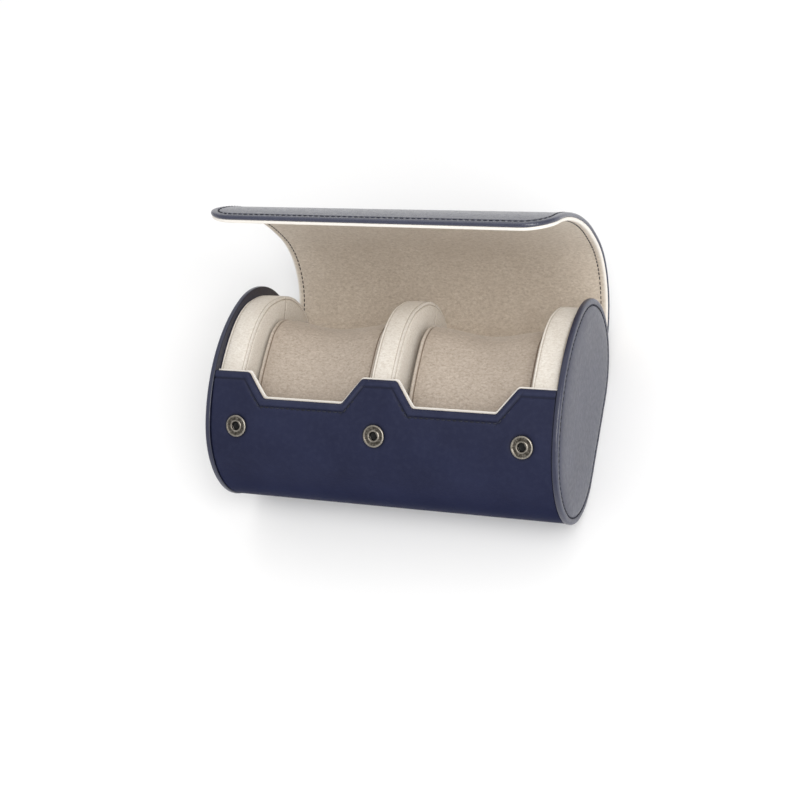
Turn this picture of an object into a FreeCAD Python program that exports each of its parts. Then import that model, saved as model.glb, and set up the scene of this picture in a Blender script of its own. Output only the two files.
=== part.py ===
import FreeCAD, Part
import os
from math import sin, cos, radians, pi, sqrt, atan2, degrees
from FreeCAD import Vector, Rotation, Placement

# Two-place watch box: an oval roll of covered board lying on its flat base, with a
# curled lid that swings up behind it. X runs along the roll, Y from the front to the
# back, Z up. The origin is the middle of the flat base. Millimetres.

# ---- driving dimensions -------------------------------------------------------------
LENGTH = 175.0            # over the two end caps
INNER_LEN = 169.0         # between the end caps' inner faces
HALF_DEPTH = 53.5         # body section: half depth over the leather
SEC_H = 75.4              # body section: height over the leather
R_LOW = 32.5              # lower corner radius
C_LOW = 21.0              # lower corner centre, from the middle
R_SIDE = 39.0             # upper side radius
CAP_PROUD = 0.5           # end caps stand proud of the body leather

T_LEATHER = 1.0
T_BOARD = 2.0
T_LINING = 0.8
T_WALL = T_LEATHER + T_BOARD + T_LINING
TURN = 1.0                # leather turned over a board's edge
LINING_SHOW = 1.0         # lining stands this far above the front panel's edge

PANEL_TOP = 99.8          # front panel's high edge, as the angle of the outward normal
PANEL_LOW = 108.7         # bottom of the two scoops
SCOOP_IN_T, SCOOP_IN_B = 8.6, 17.4       # scoop corners towards the middle (top, bottom)
SCOOP_OUT_T, SCOOP_OUT_B = 66.9, 57.6    # scoop corners towards the ends

# lid, as it lies when closed: three tangent arcs of the outer leather
LID_HALF = 84.0
LID_T_LEATHER, LID_T_BOARD, LID_T_LINING = 1.0, 1.4, 1.0
LID_T = LID_T_LEATHER + LID_T_BOARD + LID_T_LINING
A1_C, A1_R = (22.7, 31.8), 31.8
A2_R = 44.5
A2_END = 61.0
A3_R = 70.5
LID_END = 128.0
LID_CORNER = 15.0
LID_LINING_INSET = 1.5
HINGE1 = -56.5            # normal angle of the lid's hinge line
HINGE2 = 83.5             # normal angle of the flap's hinge line
NOSE_R = LID_T / 2
NOSE_GAP = 2.1            # the fixed edge stops this far short of a hinge line
OPEN_LID = 48.0           # lid and flap angles from closed to how the box stands here
OPEN_FLAP = 29.0

SNAP_ANG = 119.6
SNAP_X = (-70.7, 0.0, 70.7)
SOCKET_R, SOCKET_HOLE, SOCKET_H = 5.25, 1.95, 0.6
STUD_R, STUD_H = 1.3, 0.9

PART_T = 13.0             # outer partitions
PART_T_MID = 11.2
PART_SKIN = 0.8
PART_GAP = 0.05

PIL_HALF_Y, PIL_HALF_Z = 38.0, 27.8
PIL_TOP_R, PIL_SIDE_R, PIL_CORNER_R = 90.0, 55.0, 19.0
PIL_TILT = 8.0            # the back of each pillow sits a little higher than its front
PIL_Y, PIL_Z = -2.0, 32.6
PIL_X0, PIL_X1 = 9.6, 69.6
PIL_SKIN = 0.8

END_BOARD_T = 1.5
END_RIM = 2.5             # end cap's rim thickness
END_BORDER = 3.4          # flat sewn border around the padded panel

os.makedirs("parts", exist_ok=True)


# ---- helpers ------------------------------------------------------------------------
def pt(y, z, x=0.0):
    return Vector(x, y, z)


def seg_edge(seg, d):
    if seg[0] == "A":
        _, cy, cz, r, a0, a1 = seg
        r = r + d
        am = (a0 + a1) / 2
        p = [pt(cy + r * cos(radians(a)), cz + r * sin(radians(a))) for a in (a0, am, a1)]
        return Part.Arc(*p).toShape(), p[0], p[2]
    _, y0, z0, y1, z1, ny, nz = seg
    p0, p1 = pt(y0 + d * ny, z0 + d * nz), pt(y1 + d * ny, z1 + d * nz)
    return Part.LineSegment(p0, p1).toShape(), p0, p1


def band(segs, d0, d1, x0, x1):
    """Strip between two offsets of an open path, run from x0 to x1."""
    out = [seg_edge(s, d0) for s in segs]
    inn = [seg_edge(s, d1) for s in segs]
    edges = [e[0] for e in out]
    edges.append(Part.LineSegment(out[-1][2], inn[-1][2]).toShape())
    edges += [e[0] for e in reversed(inn)]
    edges.append(Part.LineSegment(inn[0][1], out[0][1]).toShape())
    wire = Part.Wire(Part.__sortEdges__(edges))
    face = Part.Face(wire)
    face.translate(Vector(x0, 0, 0))
    return face.extrude(Vector(x1 - x0, 0, 0))


def plate(segs, d, x0, x1):
    """Closed outline, offset by d, run from x0 to x1."""
    wire = Part.Wire(Part.__sortEdges__([seg_edge(s, d)[0] for s in segs]))
    face = Part.Face(wire)
    face.translate(Vector(x0, 0, 0))
    return face.extrude(Vector(x1 - x0, 0, 0))


def section(half, r_low, c_low, r_side, height):
    """Closed section: flat base, two lower corners, two sides and a crowned top."""
    c_side = half - r_side
    zc = ((height - r_side) ** 2 - c_side ** 2 - r_low ** 2) / (2 * ((height - r_side) - r_low))
    r_top = height - zc
    ph = degrees(atan2(r_low - zc, c_side))
    return [
        ("L", c_low, 0.0, -c_low, 0.0, 0.0, -1.0),
        ("A", -c_low, r_low, r_low, 270.0, 180.0),
        ("A", -c_side, r_low, r_side, 180.0, 180.0 - ph),
        ("A", 0.0, zc, r_top, 180.0 - ph, ph),
        ("A", c_side, r_low, r_side, ph, 0.0),
        ("A", c_low, r_low, r_low, 0.0, -90.0),
    ], (zc, r_top, ph, c_side)


def frame_at(y, z, ang, x=0.0):
    """Placement whose local Z is the outward normal at ang and local X is world X."""
    n = Vector(0, cos(radians(ang)), sin(radians(ang)))
    xd = Vector(1, 0, 0)
    yd = n.cross(xd)
    return Placement(Vector(x, y, z), Rotation(xd, yd, n, "ZXY"))


def turn(shape, y, z, deg):
    """Swings a shape about a line along X; positive opens (top towards the back)."""
    s = shape.copy()
    s.rotate(Vector(0, y, z), Vector(1, 0, 0), -deg)
    return s


def one(shape):
    s = shape.removeSplitter()
    return s.Solids[0] if len(s.Solids) == 1 else Part.Compound(s.Solids)


def lathe(profile):
    """Solid of revolution about local Z from (r, h) points."""
    pts = [Vector(r, 0, h) for r, h in profile]
    w = Part.makePolygon(pts + [pts[0]])
    return Part.Face(w).revolve(Vector(0, 0, 0), Vector(0, 0, 1), 360)


def save(name, shape):
    shape.exportStep("parts/%s.step" % name)
    print("%-26s vol %9.1f  solids %d  valid %s" % (name, shape.Volume, len(shape.Solids), shape.isValid()))


BODY, (ZC, R_TOP, PH, C_SIDE) = section(HALF_DEPTH, R_LOW, C_LOW, R_SIDE, SEC_H)
CAP, _ = section(HALF_DEPTH + CAP_PROUD, R_LOW + CAP_PROUD, C_LOW, R_SIDE + CAP_PROUD, SEC_H + 0.8)


def body_top(ang, d=0.0):
    """Point on the crowned top of the body section at a normal angle."""
    return (R_TOP + d) * cos(radians(ang)), ZC + (R_TOP + d) * sin(radians(ang))


# ---- wrap: front panel, base and back lip ------------------------------------------
HX = INNER_LEN / 2
lip_end = HINGE1 - degrees(NOSE_GAP / (A1_R - NOSE_R))


def wrap_path(top_ang, back_ang):
    return [
        ("A", A1_C[0], A1_C[1], A1_R, back_ang, -90.0),
        ("L", A1_C[0], 0.0, -C_LOW, 0.0, 0.0, -1.0),
        ("A", -C_LOW, R_LOW, R_LOW, 270.0, 180.0),
        ("A", -C_SIDE, R_LOW, R_SIDE, 180.0, 180.0 - PH),
        ("A", 0.0, ZC, R_TOP, 180.0 - PH, top_ang),
    ]


def scoops(grow):
    """Two prisms that scoop the front panel's edge; grow lowers and widens the scoop."""
    mid = (PANEL_TOP + PANEL_LOW) / 2
    y, z = body_top(mid)
    pl = frame_at(y, z, mid)
    up = R_TOP * radians(mid - PANEL_TOP)      # towards the panel's edge
    dn = R_TOP * radians(PANEL_LOW - mid)
    k = 0.45 * grow
    out = []
    for sgn in (-1, 1):
        top_ext = up + 14.0
        slope_i = (SCOOP_IN_B - SCOOP_IN_T) / (up + dn)
        slope_o = (SCOOP_OUT_T - SCOOP_OUT_B) / (up + dn)
        lo = -dn - grow
        pts2 = [
            (SCOOP_IN_B - k, lo), (SCOOP_OUT_B + k, lo),
            (SCOOP_OUT_B + k + slope_o * (top_ext - lo - grow * 0.55), top_ext),
            (SCOOP_IN_B - k - slope_i * (top_ext - lo - grow * 0.55), top_ext),
        ]
        q = [Vector(sgn * a, -b * EDGE_SIGN, -9.0) for a, b in pts2]
        f = Part.Face(Part.makePolygon(q + [q[0]]))
        s = f.extrude(Vector(0, 0, 18.0))
        s.Placement = pl
        out.append(s)
    return out


# local Y of a frame points along the path; find which way leads to the panel's edge
_pl = frame_at(*body_top(104.0), 104.0)
_t = _pl.multVec(Vector(0, 1, 0))
EDGE_SIGN = 1.0 if _t.y < body_top(104.0)[0] else -1.0


def trimmed(d0, d1, edge_shift, back_ang, grow):
    """Band of the wrap with its scooped edge; edge_shift in mm lowers the straight edge."""
    top = PANEL_TOP + degrees(edge_shift / R_TOP)
    s = band(wrap_path(top, back_ang), d0, d1, -HX, HX)
    for t in scoops(grow):
        s = s.cut(t)
    return s


full = trimmed(0.0, -(T_LEATHER + T_BOARD), 0.0, lip_end, 0.0)
board = trimmed(-T_LEATHER, -(T_LEATHER + T_BOARD), TURN, lip_end - degrees(TURN / A1_R), TURN)
lining = trimmed(-(T_LEATHER + T_BOARD), -T_WALL, -LINING_SHOW, lip_end, -LINING_SHOW)
leather = full.cut(board)

# press-stud sockets with their posts in the front panel
sy, sz = body_top(SNAP_ANG)
sockets, springs, posts = [], [], []
for x in SNAP_X:
    pl = frame_at(sy, sz, SNAP_ANG, x)
    ring = lathe([(SOCKET_HOLE, -0.3), (SOCKET_R, -0.3), (SOCKET_R, 0.15), (SOCKET_R - 0.5, SOCKET_H),
                  (SOCKET_R - 1.5, SOCKET_H), (SOCKET_R - 1.8, SOCKET_H - 0.25), (SOCKET_HOLE + 0.9, SOCKET_H - 0.25),
                  (SOCKET_HOLE + 0.6, SOCKET_H), (SOCKET_HOLE + 0.2, SOCKET_H), (SOCKET_HOLE, SOCKET_H - 0.15)])
    groove = lathe([(SOCKET_HOLE - 0.1, -0.12), (SOCKET_HOLE + 0.45, -0.12), (SOCKET_HOLE + 0.45, 0.18), (SOCKET_HOLE - 0.1, 0.18)])
    ring = ring.cut(groove)
    spring = lathe([(SOCKET_HOLE, -0.12), (SOCKET_HOLE + 0.4, -0.12), (SOCKET_HOLE + 0.4, 0.18), (SOCKET_HOLE, 0.18)])
    gap = Part.makeBox(6, 0.9, 2, Vector(0, -0.45, -1))
    spring = spring.cut(gap)
    post = lathe([(1.0, -0.3), (1.75, -0.3), (1.75, -2.4), (4.0, -2.4), (4.0, -3.0), (1.0, -3.0)])
    hole = lathe([(0, -3.0), (4.0, -3.0), (4.0, -2.4), (1.75, -2.4), (1.75, -0.3), (SOCKET_R, -0.3), (SOCKET_R, 2.0), (0, 2.0)])
    for s in (ring, spring, post, hole):
        s.Placement = pl
    sockets.append(ring)
    springs.append(spring)
    posts.append(post)
    leather = leather.cut(hole)
    board = board.cut(hole)
    posts[-1] = post.cut(lining)

save("base_leather", one(leather))
save("base_board", one(board))
save("base_lining", one(lining))
save("front_snap_sockets", Part.Compound(sockets))
save("front_snap_springs", Part.Compound(springs))
save("front_snap_posts", Part.Compound(posts))

# ---- end caps -----------------------------------------------------------------------
for side, sgn in (("left", -1), ("right", 1)):
    xa = sgn * HX
    xb = sgn * (HX + END_BOARD_T)
    xr = sgn * (HX + END_RIM)
    xo = sgn * LENGTH / 2
    xp = sgn * (LENGTH / 2 - 0.7)
    bd = plate(CAP, -0.8, xa, xb)
    pad = plate(CAP, -(END_BORDER + 0.7), xb, xp)
    lea = plate(CAP, 0.0, xa, xr).fuse(plate(CAP, -END_BORDER, xr, xo)).cut(bd).cut(pad)
    save("%s_end_board" % side, one(bd))
    save("%s_end_pad" % side, one(pad))
    save("%s_end_leather" % side, one(lea))

# ---- partitions ---------------------------------------------------------------------
d_out = -(T_WALL + PART_GAP)
for name, x0, x1 in (("left", -HX, -HX + PART_T), ("centre", -PART_T_MID / 2, PART_T_MID / 2), ("right", HX - PART_T, HX)):
    rim = plate(BODY, d_out, x0, x1).cut(plate(BODY, d_out - PART_SKIN, x0, x1))
    fa = plate(BODY, d_out - PART_SKIN, x0, x0 + PART_SKIN)
    fb = plate(BODY, d_out - PART_SKIN, x1 - PART_SKIN, x1)
    core = plate(BODY, d_out - PART_SKIN, x0 + PART_SKIN, x1 - PART_SKIN)
    save("%s_partition_core" % name, one(core))
    save("%s_partition_rim" % name, one(rim))
    save("%s_partition_faces" % name, Part.Compound([fa, fb]))

# ---- lid, built closed then swung open ---------------------------------------------
A2_C = (A1_C[0] + A1_R - A2_R, A1_C[1])
A3_C = (A2_C[0] - (A3_R - A2_R) * cos(radians(A2_END)), A2_C[1] - (A3_R - A2_R) * sin(radians(A2_END)))


def lid_path(a, b):
    segs = []
    for c, r, lo, hi in ((A1_C, A1_R, -90.0, 0.0), (A2_C, A2_R, 0.0, A2_END), (A3_C, A3_R, A2_END, 170.0)):
        s, e = max(a, lo), min(b, hi)
        if e - s > 1e-6:
            segs.append(("A", c[0], c[1], r, s, e))
    return segs


def lid_point(ang, depth):
    if ang < 0:
        c, r = A1_C, A1_R
    elif ang < A2_END:
        c, r = A2_C, A2_R
    else:
        c, r = A3_C, A3_R
    return c[0] + (r - depth) * cos(radians(ang)), c[1] + (r - depth) * sin(radians(ang))


H1 = lid_point(HINGE1, NOSE_R)
H2 = lid_point(HINGE2, NOSE_R)


def lid_part(a, b, nose_at, free_edge):
    """Leather, board and lining of one lid panel between two normal angles."""
    hx = LID_HALF
    step = lambda ang, mm: degrees(mm / (A1_R if ang < 0 else A3_R))
    body = band(lid_path(a, b), 0.0, -(LID_T_LEATHER + LID_T_BOARD), -hx, hx)
    nose = Part.makeCylinder(NOSE_R, 2 * hx, Vector(-hx, nose_at[0], nose_at[1]), Vector(1, 0, 0))
    end_in = 1.0 if free_edge else 0.6
    bd = band(lid_path(a + step(a, 2.4), b - step(b, end_in)), -LID_T_LEATHER, -(LID_T_LEATHER + LID_T_BOARD), -hx + 1.0, hx - 1.0)
    ln_end = LID_LINING_INSET if free_edge else 0.0
    ln = band(lid_path(a, b - step(b, ln_end)), -(LID_T_LEATHER + LID_T_BOARD), -LID_T, -hx + LID_LINING_INSET, hx - LID_LINING_INSET)
    if free_edge:
        ang = LID_END
        for part_ix, (inset, rc) in enumerate(((0.0, LID_CORNER), (1.0, LID_CORNER - 1.0), (LID_LINING_INSET, LID_CORNER - LID_LINING_INSET))):
            y, z = lid_point(ang - 6.0, 0.0)
            tools = []
            for sgn in (-1, 1):
                pl = frame_at(y, z, ang - 6.0)
                down = A3_R * sin(radians(6.0))
                e_dir = EDGE_SIGN       # from here towards the free edge
                cx = sgn * (LID_HALF - LID_CORNER)
                cyl = (down - LID_CORNER)
                box = Part.makeBox(LID_CORNER + 4, LID_CORNER + 6, 30)
                bx0 = cx if sgn > 0 else cx - LID_CORNER - 4
                by0 = cyl if e_dir > 0 else -cyl - LID_CORNER - 6
                box.translate(Vector(bx0, by0, -15))
                rod = Part.makeCylinder(rc, 30, Vector(cx, cyl * e_dir, -15), Vector(0, 0, 1))
                t = box.cut(rod)
                t.Placement = pl
                tools.append(t)
            for t in tools:
                if part_ix == 0:
                    body = body.cut(t)
                elif part_ix == 1:
                    bd = bd.cut(t)
                else:
                    ln = ln.cut(t)
    lea = body.fuse(nose).cut(bd).cut(ln.cut(nose))
    ln = ln.cut(nose)
    return lea, bd, ln


top_lea, top_bd, top_ln = lid_part(HINGE1, HINGE2 - degrees(NOSE_GAP / (A3_R - NOSE_R)), H1, False)
fr_lea, fr_bd, fr_ln = lid_part(HINGE2, LID_END, H2, True)

# studs on the flap's inner face, each on a post through the lining into a hidden plate
studs, anchors = [], []
STUD_ANG = None
# the stud's place on the flap is over the socket when the lid is closed
n_s = (cos(radians(SNAP_ANG)), sin(radians(SNAP_ANG)))
best = None
for i in range(1000):
    a = 112.0 + i * 0.014
    y, z = lid_point(a, LID_T)
    off = abs((y - sy) * -n_s[1] + (z - sz) * n_s[0])
    if best is None or off < best[0]:
        best = (off, a, y, z)
_, STUD_ANG, ly, lz = best
for x in SNAP_X:
    pl = frame_at(ly, lz, STUD_ANG, x)
    stud = lathe([(0, LID_T_LINING), (1.0, LID_T_LINING), (1.0, 0.0), (2.2, 0.0), (2.2, -0.25), (1.1, -0.3), (1.1, -0.5), (STUD_R, -0.65), (STUD_R - 0.2, -STUD_H), (0, -STUD_H)])
    plate_ = lathe([(0, LID_T_LINING), (3.2, LID_T_LINING), (3.2, LID_T_LINING + 0.5), (0, LID_T_LINING + 0.5)])
    hole_l = Part.makeCylinder(1.0, LID_T_LINING, Vector(0, 0, 0), Vector(0, 0, 1))
    for s in (stud, plate_, hole_l):
        s.Placement = pl
    fr_ln = fr_ln.cut(hole_l).cut(stud)
    fr_bd = fr_bd.cut(plate_)
    studs.append(stud)
    anchors.append(plate_)


def opened(shape, flap):
    s = turn(shape, H2[0], H2[1], OPEN_FLAP) if flap else shape
    return turn(s, H1[0], H1[1], OPEN_LID)


save("lid_top_leather", opened(one(top_lea), False))
save("lid_top_board", opened(one(top_bd), False))
save("lid_top_lining", opened(one(top_ln), False))
save("lid_front_leather", opened(one(fr_lea), True))
save("lid_front_board", opened(one(fr_bd), True))
save("lid_front_lining", opened(one(fr_ln), True))
save("lid_snap_studs", opened(Part.Compound(studs), True))
save("lid_snap_plates", opened(Part.Compound(anchors), True))

# ---- watch pillows ------------------------------------------------------------------
# rounded box of eight tangent arcs: the corner centre is where the two circles cross
top_c = PIL_HALF_Z - PIL_TOP_R
side_c = PIL_HALF_Y - PIL_SIDE_R
gap_c = sqrt(side_c ** 2 + top_c ** 2)
r_a, r_b = PIL_TOP_R - PIL_CORNER_R, PIL_SIDE_R - PIL_CORNER_R
along = (r_a ** 2 - r_b ** 2 + gap_c ** 2) / (2 * gap_c)
across = sqrt(r_a ** 2 - along ** 2)
ey, ez = side_c / gap_c, -top_c / gap_c
cor_y, cor_z = max(((along * ey - s * across * ez, top_c + along * ez + s * across * ey) for s in (-1, 1)))
a_top = degrees(atan2(cor_z - top_c, cor_y))
a_side = degrees(atan2(cor_z, cor_y - side_c))


def pil_arc(y, z, r, a0, a1):
    t = radians(PIL_TILT)
    return ("A", PIL_Y + y * cos(t) - z * sin(t), PIL_Z + y * sin(t) + z * cos(t), r, a0 + PIL_TILT, a1 + PIL_TILT)


PIL = [
    pil_arc(side_c, 0.0, PIL_SIDE_R, -a_side, a_side),
    pil_arc(cor_y, cor_z, PIL_CORNER_R, a_side, a_top),
    pil_arc(0.0, top_c, PIL_TOP_R, a_top, 180.0 - a_top),
    pil_arc(-cor_y, cor_z, PIL_CORNER_R, 180.0 - a_top, 180.0 - a_side),
    pil_arc(-side_c, 0.0, PIL_SIDE_R, 180.0 - a_side, 180.0 + a_side),
    pil_arc(-cor_y, -cor_z, PIL_CORNER_R, 180.0 + a_side, 180.0 + a_top),
    pil_arc(0.0, -top_c, PIL_TOP_R, 180.0 + a_top, 360.0 - a_top),
    pil_arc(cor_y, -cor_z, PIL_CORNER_R, 360.0 - a_top, 360.0 - a_side),
]
for side, x0, x1 in (("left", -PIL_X1, -PIL_X0), ("right", PIL_X0, PIL_X1)):
    sleeve = plate(PIL, 0.0, x0, x1).cut(plate(PIL, -PIL_SKIN, x0, x1))
    ends = [plate(PIL, -PIL_SKIN, x0, x0 + PIL_SKIN), plate(PIL, -PIL_SKIN, x1 - PIL_SKIN, x1)]
    core = plate(PIL, -PIL_SKIN, x0 + PIL_SKIN, x1 - PIL_SKIN)
    save("%s_pillow_core" % side, one(core))
    save("%s_pillow_sleeve" % side, one(sleeve))
    save("%s_pillow_ends" % side, Part.Compound(ends))

h2o = turn(Part.Vertex(0, H2[0], H2[1]), H1[0], H1[1], OPEN_LID).Point
print("pillow corner", cor_y, cor_z, a_top, a_side)
print("H1", H1, "H2 closed", H2, "H2 open", h2o.y, h2o.z, "stud angle", STUD_ANG)
print("lid inner over panel at stud", sqrt((ly - sy) ** 2 + (lz - sz) ** 2))
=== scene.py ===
import bpy
import math
import numpy as np
from mathutils import Matrix, Vector
from mathutils.bvhtree import BVHTree


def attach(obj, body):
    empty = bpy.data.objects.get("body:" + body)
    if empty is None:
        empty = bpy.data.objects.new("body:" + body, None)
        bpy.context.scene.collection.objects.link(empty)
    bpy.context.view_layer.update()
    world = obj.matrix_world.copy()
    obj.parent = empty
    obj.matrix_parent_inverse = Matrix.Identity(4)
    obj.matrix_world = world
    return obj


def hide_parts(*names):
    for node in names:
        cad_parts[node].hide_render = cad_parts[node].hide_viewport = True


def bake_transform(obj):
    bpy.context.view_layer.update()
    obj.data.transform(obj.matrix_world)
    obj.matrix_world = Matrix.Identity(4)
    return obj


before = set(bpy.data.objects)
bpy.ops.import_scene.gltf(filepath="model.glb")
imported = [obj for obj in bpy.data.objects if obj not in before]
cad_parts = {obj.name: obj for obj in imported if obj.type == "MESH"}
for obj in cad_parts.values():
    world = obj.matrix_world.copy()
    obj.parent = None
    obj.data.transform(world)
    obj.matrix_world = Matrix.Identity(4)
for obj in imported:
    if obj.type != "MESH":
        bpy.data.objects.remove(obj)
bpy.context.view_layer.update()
scene = bpy.context.scene
rng = np.random.default_rng(7)

# Watch box lying on its flat base, lid swung up behind it. Lengths below are millimetres
# in the part's own frame; meshes are written in metres.

# ------------------------------------------------------------------ section and path
HALF_DEPTH, SEC_H, R_LOW, C_LOW, R_SIDE = 53.5, 75.4, 32.5, 21.0, 39.0


def section(half, r_low, c_low, r_side, height):
    c_side = half - r_side
    zc = ((height - r_side) ** 2 - c_side ** 2 - r_low ** 2) / (2 * ((height - r_side) - r_low))
    return zc, height - zc, math.degrees(math.atan2(r_low - zc, c_side)), c_side


ZC, R_TOP, PH, C_SIDE = section(HALF_DEPTH, R_LOW, C_LOW, R_SIDE, SEC_H)
PANEL_TOP, PANEL_LOW = 99.8, 108.7
A1, A2, A3 = (22.7, 31.8, 31.8), (10.0, 31.8, 44.5), None
A3_R = 70.5
A3 = (A2[0] - (A3_R - A2[2]) * math.cos(math.radians(61)), A2[1] - (A3_R - A2[2]) * math.sin(math.radians(61)), A3_R)
LID_END = 128.0

# outer leather, from the front panel's edge under the base and up the closed lid
LEAD = 8.0
SEGS = [
    ("A", 0.0, ZC, R_TOP, PANEL_TOP - LEAD, 180.0 - PH),
    ("A", -C_SIDE, R_LOW, R_SIDE, 180.0 - PH, 180.0),
    ("A", -C_LOW, R_LOW, R_LOW, 180.0, 270.0),
    ("L", -C_LOW, 0.0, A1[0], 0.0),
    ("A", A1[0], A1[1], A1[2], 270.0, 360.0),
    ("A", A2[0], A2[1], A2[2], 360.0, 421.0),
    ("A", A3[0], A3[1], A3[2], 421.0, 360.0 + LID_END),
]
_len = [s[3] * math.radians(s[5] - s[4]) if s[0] == "A" else s[3] - s[1] for s in SEGS]
_start = np.concatenate([[0.0], np.cumsum(_len)]) - R_TOP * math.radians(LEAD)
S_END = float(_start[-1])
S_SPLIT = 224.0


def path(s, depth):
    """Points (y, z) and outward normals at arc length s, depth below the outer leather."""
    s, depth = np.broadcast_arrays(np.asarray(s, float), np.asarray(depth, float))
    k = np.clip(np.searchsorted(_start, s, side="right") - 1, 0, len(SEGS) - 1)
    y, z, ny, nz = (np.zeros(s.shape) for _ in range(4))
    for i, g in enumerate(SEGS):
        m = k == i
        if not m.any():
            continue
        t = s[m] - _start[i]
        if g[0] == "A":
            a = np.radians(g[4]) + t / g[3]
            ny[m], nz[m] = np.cos(a), np.sin(a)
            y[m], z[m] = g[1] + (g[3] - depth[m]) * ny[m], g[2] + (g[3] - depth[m]) * nz[m]
        else:
            ny[m], nz[m] = 0.0, -1.0
            y[m], z[m] = g[1] + t, depth[m]
    return y, z, ny, nz


def s_at(seg, ang):
    g = SEGS[seg]
    return float(_start[seg] + g[3] * math.radians(ang - g[4]))


# ------------------------------------------------------------------ lid: closed to open
H1 = np.array([39.313303, 6.700037])
H2C = np.array([5.183331, 77.417631])
H2 = np.array([69.029309, 79.382856])
OPEN_LID, OPEN_FLAP = math.radians(48.0), math.radians(29.0)
TWIST = math.radians(0.75)          # the flap stands a little further open at the left
Z1A, Z1B = np.array([24.0, 6.7]), np.array([56.0, 6.7])
DIR2 = np.array([math.cos(math.radians(111.0)), math.sin(math.radians(111.0))])
Z2A, Z2B = H2 - 36.0 * DIR2, H2 + 36.0 * DIR2


def spin(yz, pivot, ang):
    """Opens points about a line along X; ang may differ per point."""
    d = yz - pivot
    c, s = np.cos(-ang), np.sin(-ang)
    return pivot + np.stack([d[:, 0] * c - d[:, 1] * s, d[:, 0] * s + d[:, 1] * c], 1)


def soft_step(t):
    t = np.clip(t, 0, 1)
    return t * t * (3 - 2 * t)


def arc_at(yz):
    """Arc length of closed lid points."""
    a1 = np.degrees(np.arctan2(yz[:, 1] - A1[1], yz[:, 0] - A1[0]))
    a2 = np.degrees(np.arctan2(yz[:, 1] - A2[1], yz[:, 0] - A2[0]))
    a3 = np.degrees(np.arctan2(yz[:, 1] - A3[1], yz[:, 0] - A3[0]))
    s1 = _start[4] + A1[2] * np.radians(a1 + 90.0)
    s2 = _start[5] + A2[2] * np.radians(a2)
    s3 = _start[6] + A3[2] * np.radians(a3 - 61.0)
    return np.where(a1 < 0, s1, np.where(a2 < 61.0, s2, s3))


# the springy board opens into one even curve, a little outside the two rigid panels
CURVE_S = np.linspace(206.0, S_END, 500)
_u = (CURVE_S - 206.0) / (S_END - 206.0)
_t = np.radians(30.306 + 251.497 * _u - 275.422 * _u ** 2 + 134.236 * _u ** 3)
_tm, _ds = (_t[1:] + _t[:-1]) / 2, np.diff(CURVE_S)
CURVE = np.stack([62.506 + np.concatenate([[0], np.cumsum(np.cos(_tm) * _ds)]), 10.139 + np.concatenate([[0], np.cumsum(np.sin(_tm) * _ds)])], 1)
SHIFT = None


def open_zone(pts, zone):
    """Closed points (x, y, z) to the open lid, bending softly across one hinge zone."""
    out = open_rigid(pts, zone)
    s = arc_at(pts[:, 1:])
    k = soft_step((s - 178.0) / 28.0) * (0.35 + 0.55 * soft_step((s - 230.0) / 44.0))
    for c in (0, 1):
        out[:, c + 1] += k * np.interp(s, CURVE_S, SHIFT[:, c])
    return out


def open_rigid(pts, zone):
    yz = pts[:, 1:]
    a, b = (Z1A, Z1B) if zone == 1 else (Z2A, Z2B)
    d = b - a
    w = np.full(len(pts), 0.5)
    flap = OPEN_FLAP - TWIST * np.clip(pts[:, 0] / 84.0, -1, 1)
    for _ in range(160):
        if zone == 1:
            r = spin(yz, H1, OPEN_LID * w)
        else:
            r = spin(spin(yz, H2C, flap * w), H1, OPEN_LID * np.ones(len(w)))
        w = 0.55 * w + 0.45 * soft_step((r - a) @ d / (d @ d))
    return np.column_stack([pts[:, 0], r])


_y, _z, _, _ = path(CURVE_S, 0.0)
_flat = np.column_stack([np.zeros(500), _y, _z])
SHIFT = CURVE - np.where((CURVE_S < S_SPLIT)[:, None], open_rigid(_flat, 1), open_rigid(_flat, 2))[:, 1:]


def blend_zone(ob):
    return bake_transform(ob)


# ------------------------------------------------------------------ mesh helpers
def make(name, verts, faces, mats, attrs=None, face_mat=None, flat=None):
    me = bpy.data.meshes.new(name)
    me.from_pydata((np.asarray(verts, float) * 0.001).tolist(), [], faces)
    me.update()
    me.shade_smooth()
    if flat is not None:
        for i in flat:
            me.polygons[i].use_smooth = False
    for k, v in (attrs or {}).items():
        a = me.attributes.new(k, "FLOAT", "POINT")
        a.data.foreach_set("value", np.asarray(v, np.float32))
    for m in mats if isinstance(mats, (list, tuple)) else [mats]:
        me.materials.append(m)
    if face_mat is not None:
        me.polygons.foreach_set("material_index", np.asarray(face_mat, np.int32))
    ob = bpy.data.objects.new(name, me)
    scene.collection.objects.link(ob)
    return ob


class Build:
    """Collects vertices, faces and per-point marks of one mesh."""

    def __init__(self):
        self.v, self.f, self.m, self.n = [], [], [], 0
        self.marks = {}

    def add(self, verts, faces, mat=0, **marks):
        verts = np.asarray(verts, float)
        for k in set(self.marks) | set(marks):
            if k not in self.marks:
                self.marks[k] = [np.zeros(self.n)]
            self.marks[k].append(np.broadcast_to(np.asarray(marks.get(k, 0.0), float), (len(verts),)))
        self.v.append(verts)
        self.f += [tuple(i + self.n for i in f) for f in faces]
        self.m += [mat] * len(faces)
        self.n += len(verts)

    def ob(self, name, mats, move=None):
        v = np.concatenate(self.v)
        if move is not None:
            v = move(v)
        return make(name, v, self.f, mats, {k: np.concatenate(a) for k, a in self.marks.items()}, self.m)


def grid_faces(nr, nc, closed_c=False, flip=False, start=0):
    out = []
    for r in range(nr - 1):
        for c in range(nc if closed_c else nc - 1):
            c2 = (c + 1) % nc
            q = (start + r * nc + c, start + r * nc + c2, start + (r + 1) * nc + c2, start + (r + 1) * nc + c)
            out.append(q[::-1] if flip else q)
    return out


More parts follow.
